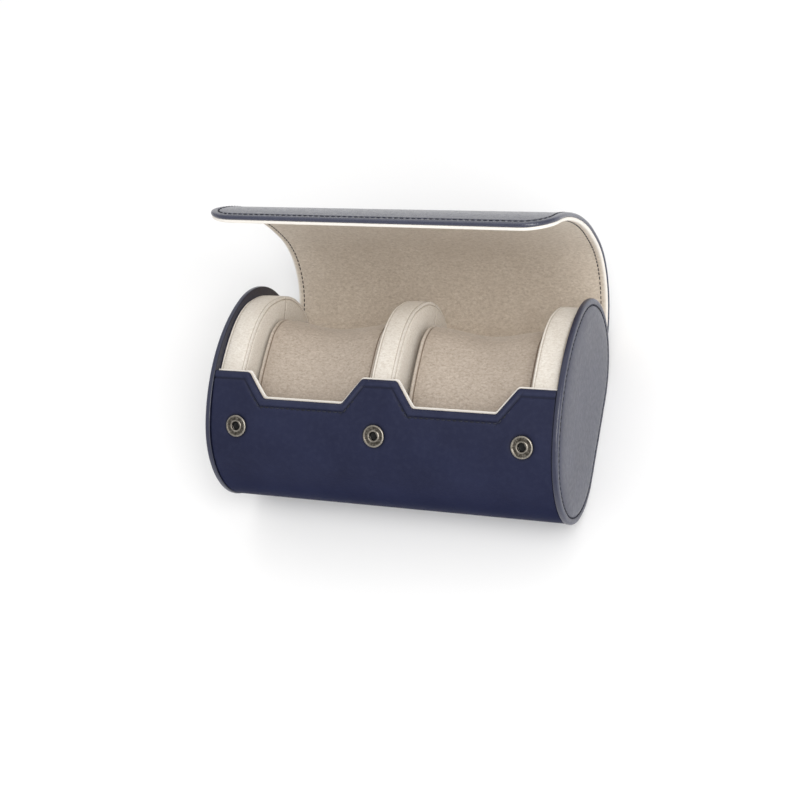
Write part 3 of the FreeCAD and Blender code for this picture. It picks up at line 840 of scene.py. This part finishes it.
SOCKET = [(2.6, -1.95), (4.7, -0.6), (5.2, -0.25), (5.25, 0.05), (5.22, 0.28), (5.08, 0.52), (4.85, 0.68), (4.6, 0.74), (4.4, 0.7), (4.25, 0.58),
          (4.1, 0.5), (3.95, 0.48), (3.78, 0.47), (3.6, 0.47), (3.42, 0.47), (3.25, 0.48), (3.05, 0.5), (2.88, 0.56), (2.72, 0.68), (2.55, 0.74),
          (2.36, 0.73), (2.18, 0.66), (2.05, 0.52), (1.97, 0.3), (1.95, 0.0), (1.95, -0.7), (1.95, -1.4), (1.6, -1.62), (0.8, -1.66)]
y0, z0, ny0, nz0 = (float(v) for v in path(SNAP_S, 0.0))
for side, sx in zip(("left", "centre", "right"), SNAP_X):
    put = seat(sx, y0, z0, ny0, nz0)
    bld = Build()
    v, f = lathe(SOCKET, 132, put, socket_ripple)
    prof = np.array(SOCKET)
    rr_, hh_ = prof[:, 0], prof[:, 1]
    # painted shade: darker on the sunken ring, under the rolled rim and down the hole
    socket_recess_shade = np.where((rr_ > 2.8) & (rr_ < 4.4), 0.42, 0.0) + np.where(hh_ < 0.2, 0.5, 0) + np.where(rr_ < 2.0, 0.5, 0)
    # painted highlight on the tops of the rolled rim and the inner lip
    shine = np.where((rr_ > 4.4) & (rr_ < 5.1), 0.55, 0) + np.where((rr_ > 2.3) & (rr_ < 2.8), 0.45, 0)
    ring_mark = lambda a: np.concatenate([np.repeat(a, 132), [a[-1], a[0]]])
    # the hole's walls and floor take the near-black painted-shade material
    fm = [1 if max(v_ // 132 for v_ in q) >= len(SOCKET) - 5 else 0 for q in f]
    bld.add(v, [q for q, k in zip(f, fm) if k == 0], 0, seam=np.clip(ring_mark(socket_recess_shade), 0, 1), wear=ring_mark(shine))
    bld.f += [q for q, k in zip(f, fm) if k == 1]
    bld.m += [1] * sum(fm)
    # the two legs of the ring spring cross the hole
    for off in (-1.75, 1.75):
        tt = np.linspace(-1.3, 1.3, 9)
        wire = np.column_stack([np.full(9, off) + 0.1 * np.sign(off) * (1 - (tt / 1.3) ** 2) * -1, tt, np.full(9, 0.05)])
        wv, wf = tube(wire, 0.26, 8, up=(0.0, 0.0, 1.0))
        ca, sa = math.cos(0.5), math.sin(0.5)
        wv = np.column_stack([wv[:, 0] * ca - wv[:, 1] * sa, wv[:, 0] * sa + wv[:, 1] * ca, wv[:, 2]])
        bld.add(put(wv), wf, 2, seam=0.0, wear=0.0)
    ob = bld.ob("snap_socket_%s" % side, [NICKEL, WELL_SHADE, GUN])
    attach(ob, "case")
    if side == "centre":
        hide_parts("front_snap_sockets", "front_snap_springs", "front_snap_posts")

STUD = [(2.3, -0.25), (2.55, 0.0), (2.6, 0.12), (2.5, 0.24), (2.25, 0.3), (1.8, 0.33), (1.45, 0.36), (1.15, 0.5), (1.02, 0.8), (1.0, 1.4),
        (1.06, 1.7), (1.18, 1.9), (1.24, 2.1), (1.2, 2.28), (1.08, 2.42), (0.85, 2.5), (0.5, 2.53), (0.2, 2.48)]
s_stud = s_at(6, 360.0 + 118.328)
yb, zb, nyb, nzb = (float(v) for v in path(s_stud, LID_DEPTH))
for side, sx in zip(("left", "centre", "right"), SNAP_X):
    v, f = lathe(STUD, 48, seat(sx, yb, zb, -nyb, -nzb))
    prof = np.array(STUD)
    # painted highlight on the stud's crown and the edge of its flange
    shine = np.concatenate([np.repeat(np.where(prof[:, 1] > 2.2, 0.5, np.where(np.abs(prof[:, 0] - 2.4) < 0.12, 0.4, 0.0)), 48), [0.3, 0]])
    v = open_zone(v, 2)
    ob = make("lid_stud_%s" % side, v, f, GUN, {"wear": shine, "seam": 0 * shine})
    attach(ob, "lid_front")
    if side == "centre":
        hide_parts("lid_snap_studs", "lid_snap_plates")


# ------------------------------------------------------------------ closed outlines
def outline(half, r_low, c_low, r_side_, height, n, fine=None):
    """Closed section as points and outward normals; fine = (from, to, step) sets a closer spacing."""
    zc, rt, ph, cs = section(half, r_low, c_low, r_side_, height)
    segs = [("A", cs, r_low, r_side_, 0, ph), ("A", 0, zc, rt, ph, 180 - ph), ("A", -cs, r_low, r_side_, 180 - ph, 180),
            ("A", -c_low, r_low, r_low, 180, 270), ("L", -c_low, 0.0, c_low), ("A", c_low, r_low, r_low, 270, 360)]
    ln = [g[3] * math.radians(g[5] - g[4]) if g[0] == "A" else g[3] - g[1] for g in segs]
    st = np.concatenate([[0], np.cumsum(ln)])
    u = np.arange(n) * st[-1] / n
    if fine is not None:
        mid, half_f = (fine[0] + fine[1]) / 2, (fine[1] - fine[0]) / 2
        u = graded(0.0, st[-1], lambda t: near(t, [mid], half_f, fine[2], st[-1] / n))[:-1]
        n = len(u)
    y, z, ny, nz = (np.zeros(n) for _ in range(4))
    for i, g in enumerate(segs):
        m = (u >= st[i]) & (u < st[i + 1])
        t = u[m] - st[i]
        if g[0] == "A":
            a = np.radians(g[4]) + t / g[3]
            ny[m], nz[m] = np.cos(a), np.sin(a)
            y[m], z[m] = g[1] + g[3] * ny[m], g[2] + g[3] * nz[m]
        else:
            ny[m], nz[m] = 0, -1
            y[m], z[m] = g[1] + t, 0.0
    return np.stack([y, z], 1), np.stack([ny, nz], 1), u, float(st[-1])


def ripple2(y, z, seed, scale):
    """Smooth, repeatable unevenness over a face, about -1 to 1."""
    r = np.random.default_rng(seed)
    out = np.zeros(np.shape(y))
    for _ in range(9):
        k = r.normal(0, 1, 2) / scale
        out = out + np.sin(k[0] * y + k[1] * z + r.random() * 6.28)
    return out / 4.0


# ------------------------------------------------------------------ end caps
CAP_N = 300
cap_p, cap_n, cap_u, cap_len = outline(54.0, 33.0, 21.0, 39.5, 76.2, CAP_N)
CAP_MID = np.array([0.0, 36.5])
CAP_PROFILE = [(7.0, 0.0), (0.55, 0.0), (0.28, 0.05), (0.08, 0.2), (0.0, 0.45), (-0.03, 0.9), (-0.03, 1.4), (0.02, 1.9), (0.14, 2.2), (0.34, 2.42), (0.62, 2.56),
               (1.0, 2.64), (1.45, 2.68), (1.9, 2.66), (2.3, 2.6), (2.6, 2.5), (2.8, 2.36), (2.95, 2.24), (3.1, 2.18), (3.25, 2.22), (3.42, 2.33), (3.65, 2.47), (4.0, 2.63),
               (4.5, 2.80), (5.2, 2.97), (6.2, 3.13), (7.5, 3.27), (9.2, 3.38), (11.5, 3.47), (14.5, 3.53)]
for side, sgn in (("left", -1.0), ("right", 1.0)):
    rows, cap_highlight_rows, groove_shade_rows = [], [], []
    for e, h in CAP_PROFILE:
        p = cap_p - cap_n * e
        lift = np.zeros(CAP_N)
        if e > 3.3 and h > 1:
            lift = 0.10 * ripple2(p[:, 0], p[:, 1], 11 if sgn > 0 else 12, 9.0) * min(1, (e - 3.3) / 5)
        rows.append(np.column_stack([sgn * (84.5 + h + lift), p]))
        # painted highlight along the rim's creased outer edge and on the padded panel just inside the stitching
        cap_highlight_rows.append(np.full(CAP_N, 0.75 * math.exp(-(((h - 2.45) / 0.25) ** 2)) if e < 1.2 and h > 1 else 0.25 * math.exp(-(((e - 4.2) / 0.8) ** 2)) * (h > 1)))
        # painted shade in the stitch groove and where the rim meets the wrap
        groove_shade_rows.append(np.full(CAP_N, (0.85 * math.exp(-(((e - 3.1) / 0.3) ** 2)) if h > 1 else 0.0) + (0.55 if h < 0.3 and e < 1 else 0.0)))
    base_ring = cap_p - cap_n * CAP_PROFILE[-1][0]
    for k in (0.82, 0.64, 0.46, 0.28, 0.12):
        p = CAP_MID + (base_ring - CAP_MID) * k
        lift = 0.10 * ripple2(p[:, 0], p[:, 1], 11 if sgn > 0 else 12, 9.0)
        rows.append(np.column_stack([sgn * (84.5 + 3.53 + 0.06 * (1 - k) + lift), p]))
        cap_highlight_rows.append(np.zeros(CAP_N))
        groove_shade_rows.append(np.zeros(CAP_N))
    n_rows = len(rows)
    v = np.concatenate(rows + [[[sgn * (84.5 + 3.59), *CAP_MID]], [[sgn * 84.5, *CAP_MID]]])
    f = grid_faces(n_rows, CAP_N, closed_c=True, flip=sgn < 0)
    last = (n_rows - 1) * CAP_N
    tip, back = len(v) - 2, len(v) - 1
    fan = [(last + k, last + (k + 1) % CAP_N, tip) for k in range(CAP_N)] + [((k + 1) % CAP_N, k, back) for k in range(CAP_N)]
    f += [q[::-1] for q in fan] if sgn < 0 else fan
    ob = make("%s_end_cap" % side, v, f, NAVY, {"gloss": np.ones(len(v)), "wear": np.concatenate(cap_highlight_rows + [[0, 0]]), "seam": np.clip(np.concatenate(groove_shade_rows + [[0, 0]]), 0, 1)})
    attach(ob, "case")
    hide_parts("%s_end_leather" % side, "%s_end_board" % side, "%s_end_pad" % side)
    sew = Build()
    ring = cap_p - cap_n * 3.1
    loop = np.concatenate([ring, ring[:1]])
    stitch_row(sew, loop, lambda uv, h, s=sgn: np.column_stack([s * (84.5 + 2.42 + h), uv]))
    ob = sew.ob("%s_end_cap_stitching" % side, THREAD)
    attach(ob, "case")

# ------------------------------------------------------------------ partitions
body_p, body_n, body_u, body_len = outline(53.5, 32.5, 21.0, 39.0, 75.4, 280, fine=(3.0, 24.0, 0.26))
PART_N = len(body_p)
ang = np.degrees(np.arctan2(body_n[:, 1], body_n[:, 0]))
crown = -3.86 + 1.8 * np.exp(-(((ang - 68.0) / 15.0) ** 2))
PART_MID = np.array([0.0, 36.0])
for name, x0, x1, domes, seam_z, seam_k in (("left", -84.45, -71.5, (0.0, 0.7), 47.4, 0.30), ("centre", -5.6, 5.6, (1.2, 1.2), 39.8, 0.10), ("right", 71.5, 84.45, (0.7, 0.0), 44.0, 0.20)):
    # a short seam runs in from the back of each face, with a nick in the rim at its end
    nick = np.exp(-(((body_p[:, 1] - (seam_z + seam_k * (body_p[:, 0] - 36.0))) / 0.5) ** 2)) * (body_p[:, 0] > 40)
    rows, marks_s, marks_w = [], [], []

    def face_rows(xf, sg, dome, outward):
        """Rows of one face from its middle to its sewn edge, or back."""
        part = []
        for k in (0.12, 0.3, 0.48, 0.66, 0.8, 0.9):
            part.append(("k", k))
        for e in (7.0, 5.2, 4.0, 3.1, 2.5, 2.1, 1.85, 1.65, 1.5, 1.35, 1.2, 1.0, 0.8, 0.6, 0.42, 0.28, 0.16, 0.06):
            part.append(("e", e))
        out = []
        for kind, q in part:
            if kind == "k":
                edge7 = body_p + body_n * (crown - 8.5)[:, None]
                p = PART_MID + (edge7 - PART_MID) * q
                hgt = dome
                dark = 0.0
            else:
                p = body_p + body_n * (crown - q)[:, None]
                hgt = dome * (1 - math.exp(-max(q - 1.5, 0) / 1.7)) - 0.42 * math.exp(-(((q - 1.5) / 0.26) ** 2)) - edge_round(np.array(q), 0.7)
                # painted shade in the sewn groove 1.5 mm in from the rim
                dark = 0.62 * math.exp(-(((q - 1.5) / 0.2) ** 2))
            line = np.exp(-(((p[:, 1] - (seam_z + seam_k * (p[:, 0] - 36.0))) / 0.36) ** 2)) * soft_step((p[:, 0] - 20.0) / 8.0)
            line = line * (1.0 if kind == "k" else min(1.0, max(0.0, (q - 0.2) / 0.6)))
            hh = hgt - 0.5 * line * (dome > 0)
            # painted shade in the groove and along the short seam; painted highlight on the face's rounded edge
            out.append((np.column_stack([xf + sg * hh, p]), np.clip(dark + 0.75 * line * (dome > 0), 0, 1), np.full(PART_N, 0.3 * math.exp(-(((q - 0.6) / 0.4) ** 2)) if kind == "e" else 0.0)))
        return out if outward else out[::-1]

    seq = face_rows(x0, -1.0, domes[0], True)
    wdt = x1 - x0
    tx = np.concatenate([[0.25, 0.5, 0.75, 0.95, 1.1, 1.25, 1.4, 1.6, 1.9, 2.4], np.linspace(3.0, wdt - 3.0, 9), wdt - np.array([2.4, 1.9, 1.6, 1.4, 1.25, 1.1, 0.95, 0.75, 0.5, 0.25])])
    for t in tx:
        e = min(t, wdt - t)
        rise = 0.35 * (1 - math.exp(-max(e - 1.2, 0) / 1.6)) - 0.34 * math.exp(-(((e - 1.25) / 0.24) ** 2)) - float(edge_round(np.array(e), 0.7)) * 0.35
        nick_x = math.exp(-((min(abs(t), abs(wdt - t)) / 1.1) ** 2))
        rise_v = rise * np.where(crown > -3.7, 1.0, 0.25) - 0.5 * nick * nick_x
        p = body_p + body_n * (crown + rise_v)[:, None]
        # painted shade in the rim's groove 1.25 mm from each edge, painted highlight on its rounded edges
        seq.append((np.column_stack([np.full(PART_N, x0 + t), p]), np.full(PART_N, 0.55 * math.exp(-(((e - 1.25) / 0.18) ** 2))), np.full(PART_N, 0.3 * math.exp(-(((e - 0.6) / 0.4) ** 2)))))
    seq += face_rows(x1, 1.0, domes[1], False)
    v = np.concatenate([q[0] for q in seq] + [[[x0 - domes[0], *PART_MID]], [[x1 + domes[1], *PART_MID]]])
    n_rows = len(seq)
    f = grid_faces(n_rows, PART_N, closed_c=True)
    last = (n_rows - 1) * PART_N
    a_, b_ = len(v) - 2, len(v) - 1
    f += [((k + 1) % PART_N, k, a_) for k in range(PART_N)] + [(last + k, last + (k + 1) % PART_N, b_) for k in range(PART_N)]
    groove_shade_rows = np.concatenate([q[1] for q in seq] + [[0, 0]])
    rim_highlight = np.concatenate([q[2] for q in seq] + [[0, 0]])
    ob = make("%s_partition" % name, v, f, CREAM, {"seam": np.clip(groove_shade_rows, 0, 1), "wear": rim_highlight})
    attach(ob, "case")
    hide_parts(*["%s_partition_%s" % (name, p) for p in ("core", "rim", "faces")])

# ------------------------------------------------------------------ watch pillows
PIL_Y, PIL_Z, PIL_HY, PIL_HZ, PIL_TILT = -2.0, 32.6, 38.0, 27.8, math.radians(8.0)
PIL_TOP, PIL_SIDE, PIL_COR = (0.0, PIL_HZ - 90.0, 90.0), (PIL_HY - 55.0, 0.0, 55.0), (18.432751, 6.365543, 19.0)
A_TOP, A_SIDE = 74.952709, 10.184625


def pillow_outline(n):
    """Tilted rounded box of eight tangent arcs, about its own middle: points and normals."""
    (ty, tz, tr), (sy_, sz_, sr), (qy, qz, qr) = PIL_TOP, PIL_SIDE, PIL_COR
    segs = [(sy_, sz_, sr, -A_SIDE, A_SIDE), (qy, qz, qr, A_SIDE, A_TOP), (ty, tz, tr, A_TOP, 180 - A_TOP), (-qy, qz, qr, 180 - A_TOP, 180 - A_SIDE),
            (-sy_, sz_, sr, 180 - A_SIDE, 180 + A_SIDE), (-qy, -qz, qr, 180 + A_SIDE, 180 + A_TOP), (ty, -tz, tr, 180 + A_TOP, 360 - A_TOP), (qy, -qz, qr, 360 - A_TOP, 360 - A_SIDE)]
    ln = [g[2] * math.radians(g[4] - g[3]) for g in segs]
    st = np.concatenate([[0], np.cumsum(ln)])
    u = np.arange(n) * st[-1] / n
    p, q = np.zeros((n, 2)), np.zeros((n, 2))
    for i, g in enumerate(segs):
        m = (u >= st[i]) & (u < st[i + 1])
        a = np.radians(g[3]) + (u[m] - st[i]) / g[2]
        q[m] = np.stack([np.cos(a), np.sin(a)], 1)
        p[m] = np.stack([g[0] + g[2] * np.cos(a), g[1] + g[2] * np.sin(a)], 1)
    rot = np.array([[math.cos(PIL_TILT), math.sin(PIL_TILT)], [-math.sin(PIL_TILT), math.cos(PIL_TILT)]])
    return p @ rot, q @ rot


def simulate_pillow(name, half):
    """Sewn sleeve blown up by its filling: held at its end seams, free between them."""
    p, q = pillow_outline(96)
    rows = []
    for x in np.linspace(-half, half, 25):
        waist = 2.6 * math.exp(-((x / 15.0) ** 2))
        rows.append(np.column_stack([np.full(96, x), p - q * (1.3 + waist)]))
    v = np.concatenate(rows + [[[-half, 0, 0]], [[half, 0, 0]]])
    f = grid_faces(25, 96, closed_c=True)
    n = 24 * 96
    f += [((k + 1) % 96, k, len(v) - 2) for k in range(96)] + [(n + k, n + (k + 1) % 96, len(v) - 1) for k in range(96)]
    ob = make(name, v, f, PILLOW)
    bpy.context.view_layer.objects.active = ob
    ob.select_set(True)
    rm = ob.modifiers.new("Remesh", "REMESH")
    rm.mode = "VOXEL"
    rm.voxel_size = 0.0042
    bpy.ops.object.modifier_apply(modifier=rm.name)
    rest = np.array([w.co for w in ob.data.vertices])
    grp = ob.vertex_groups.new(name="seams")
    grp.add([i for i, c in enumerate(rest) if abs(abs(c[0]) * 1000 - half) < 3.2], 1.0, "REPLACE")
    cl = ob.modifiers.new("Cloth", "CLOTH")
    st = cl.settings
    st.quality = 6
    st.mass = 0.001
    st.tension_stiffness = st.compression_stiffness = 12
    st.shear_stiffness = 6
    st.bending_stiffness = 0.15
    st.use_pressure = True
    st.uniform_pressure_force = 180.0
    st.effector_weights.gravity = 0.0
    st.vertex_group_mass = "seams"
    cl.collision_settings.use_collision = False
    cl.point_cache.frame_start, cl.point_cache.frame_end = 1, 20
    for fr in range(1, 21):
        scene.frame_set(fr)
    dg = bpy.context.evaluated_depsgraph_get()
    me = ob.evaluated_get(dg).to_mesh()
    now = np.array([w.co for w in me.vertices])
    ob.evaluated_get(dg).to_mesh_clear()
    move = now - rest
    size = np.linalg.norm(move, axis=1)
    cap = 0.0030
    move *= (np.tanh(size / cap) * cap / np.maximum(size, 1e-9))[:, None]
    ob.modifiers.clear()
    out = rest + move
    faces = [tuple(t.vertices) for t in ob.data.polygons]
    bpy.data.objects.remove(ob)
    scene.frame_set(1)
    return out * 1000.0, faces, float(size.max() * 1000)


PIL_N = 220
pil_p, pil_q = pillow_outline(PIL_N)
HALF_L = 30.0
px = graded(-HALF_L + 0.02, HALF_L - 0.02, lambda x: np.minimum(near(x, (-27.8, 27.8), 0.9, 0.16, 1.6), near(x, (-HALF_L, HALF_L), 1.6, 0.2, 1.6)))


def smooth_field(a, n):
    for _ in range(n):
        a = 0.5 * a + 0.25 * (np.roll(a, 1, 1) + np.roll(a, -1, 1))
        b = a.copy()
        b[1:-1] = 0.5 * a[1:-1] + 0.25 * (a[2:] + a[:-2])
        a = b
    return a


FULL = soft_step((pil_q[:, 1] + 0.25) / 0.6)            # the top and back show how full the ends are
sv, sf, grew = simulate_pillow("pillow_sim", HALF_L)
tree = BVHTree.FromPolygons([Vector(p) for p in sv], sf)
xs_f = np.linspace(-HALF_L + 2.5, HALF_L - 2.5, 41)
field = np.zeros((41, PIL_N))
for i, x in enumerate(xs_f):
    for k in range(PIL_N):
        start = Vector((x, *(pil_p[k] + pil_q[k] * 12.0)))
        hit = tree.ray_cast(start, Vector((0, -pil_q[k][0], -pil_q[k][1])), 30.0)
        field[i, k] = 12.0 - hit[3] if hit[0] is not None else -1.5
field = smooth_field(field, 14)
field = np.minimum(field, -0.25 * (1 - FULL)[None, :] + 0.6 * FULL[None, :]) + 1.5 * FULL[None, :] * np.exp(-(((HALF_L - np.abs(xs_f)) / 13.0) ** 2))[:, None]

for side, xc in (("left", -39.6), ("right", 39.6)):
    sg = -1.0 if side == "left" else 1.0
    col = np.stack([np.interp(px * sg, xs_f, field[:, k]) for k in range(PIL_N)], 1)
    seq = []
    y_all, z_all = pil_p[:, 0] + PIL_Y, pil_p[:, 1] + PIL_Z

    def end_rows(sign, outward):
        """End panel: a soft low dome inside the rolled edge."""
        out = []
        i = 0 if sign < 0 else -1
        rim = pil_p + pil_q * (col[i] - 1.05)[:, None]
        for k in (0.1, 0.28, 0.46, 0.62, 0.76, 0.86, 0.93, 0.97):
            h = 0.15 + 0.55 * (1 - k ** 3) - 0.25 * math.exp(-(((k - 0.965) / 0.02) ** 2))
            p = rim * k
            out.append((np.column_stack([np.full(PIL_N, sign * (HALF_L - 0.75 + h)), p]), np.zeros(PIL_N), np.zeros(PIL_N)))
        return out if outward else out[::-1]

    seq += end_rows(-1, True)
    for i, x in enumerate(px):
        e = HALF_L - abs(x)
        off = col[i] - edge_round(np.array(e), 1.1) - 0.55 * math.exp(-(((e - 2.2) / 0.3) ** 2)) + 0.22 * math.exp(-(((e - 1.2) / 0.7) ** 2)) - 0.2 * math.exp(-(((e - 3.4) / 1.2) ** 2))
        wrinkle = 0.10 * ripple2(np.cumsum(np.ones(PIL_N)) * 0.8, np.full(PIL_N, x), 21 if sg < 0 else 22, 5.0) * min(1.0, e / 6)
        p = pil_p + pil_q * (off + wrinkle)[:, None]
        # painted shade in the groove 2.2 mm in from each end, painted highlight on the rolled end edge
        seq.append((np.column_stack([np.full(PIL_N, x), p]), np.full(PIL_N, 0.9 * math.exp(-(((e - 2.2) / 0.24) ** 2))), np.full(PIL_N, 0.25 * math.exp(-(((e - 1.1) / 0.6) ** 2)))))
    seq += end_rows(1, False)
    v = np.concatenate([q[0] for q in seq] + [[[-HALF_L - 0.0, 0, 0]], [[HALF_L + 0.0, 0, 0]]])
    v = v + np.array([xc, PIL_Y, PIL_Z])
    n_rows = len(seq)
    f = grid_faces(n_rows, PIL_N, closed_c=True)
    last = (n_rows - 1) * PIL_N
    a_, b_ = len(v) - 2, len(v) - 1
    f += [((k + 1) % PIL_N, k, a_) for k in range(PIL_N)] + [(last + k, last + (k + 1) % PIL_N, b_) for k in range(PIL_N)]
    ob = make("%s_pillow_cushion" % side, v, f, PILLOW, {"seam": np.concatenate([q[1] for q in seq] + [[0, 0]]), "wear": np.concatenate([q[2] for q in seq] + [[0, 0]])})
    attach(ob, "%s_pillow" % side)
    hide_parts(*["%s_pillow_%s" % (side, p) for p in ("core", "sleeve", "ends")])

# ------------------------------------------------------------------ floor, light, camera
me = bpy.data.meshes.new("floor")
w = 3.0
me.from_pydata([(-w, -w, -0.0004), (w, -w, -0.0004), (w, w, -0.0004), (-w, w, -0.0004)], [], [(0, 1, 2, 3)])
floor = bpy.data.objects.new("floor", me)
scene.collection.objects.link(floor)
fm, nt, bs = mat_new("floor_white")
co = obj_coords(nt)
nt.links.new(ramp(nt, noise(nt, co, 3.0, 2.0), [(0.2, grey(0.93)), (0.8, grey(0.95))]), bs.inputs["Base Color"])
bs.inputs["Roughness"].default_value = 0.9
bs.inputs["Specular IOR Level"].default_value = 0.1
me.materials.append(fm)

world = bpy.data.worlds.new("studio")
scene.world = world
world.use_nodes = True
world.node_tree.nodes["Background"].inputs[0].default_value = (1.0, 1.0, 1.0, 1)
world.node_tree.nodes["Background"].inputs[1].default_value = 0.74


def area(name, loc, target, size, power, colour=(1, 1, 1), size_y=None):
    l = bpy.data.lights.new(name, "AREA")
    l.shape = "RECTANGLE" if size_y else "SQUARE"
    l.size = size
    if size_y:
        l.size_y = size_y
    l.energy = power
    l.color = colour
    o = bpy.data.objects.new(name, l)
    o.location = loc
    o.rotation_euler = (Vector(target) - Vector(loc)).to_track_quat("-Z", "Y").to_euler()
    scene.collection.objects.link(o)
    return o


area("key", (0.55, -0.30, 1.15), (0, 0.01, 0.05), 0.7, 7.5, (1.0, 0.99, 0.975))
area("top_back", (-0.1, 0.95, 0.9), (0, 0.02, 0.05), 1.0, 2.2)
area("front_fill", (0.75, -0.75, 0.55), (0, 0, 0.06), 0.6, 2.2, (0.99, 0.995, 1.0))

cam = bpy.data.cameras.new("camera")
cam.lens = 65.96
cam.sensor_width = 36.0
cam.sensor_fit = "HORIZONTAL"
cam.clip_start, cam.clip_end = 0.01, 20.0
cob = bpy.data.objects.new("camera", cam)
scene.collection.objects.link(cob)
R, U, F = (0.92880955, 0.20371469, -0.30953698), (-0.06115962, 0.90814768, 0.41415854), (-0.36547547, 0.36574325, -0.85595535)
cob.matrix_world = Matrix(((R[0], U[0], -F[0], 0.255163), (R[1], U[1], -F[1], -0.261127), (R[2], U[2], -F[2], 0.643208), (0, 0, 0, 1)))
scene.camera = cob
scene.view_settings.view_transform = "Standard"
scene.view_settings.look = "None"

bpy.context.view_layer.update()
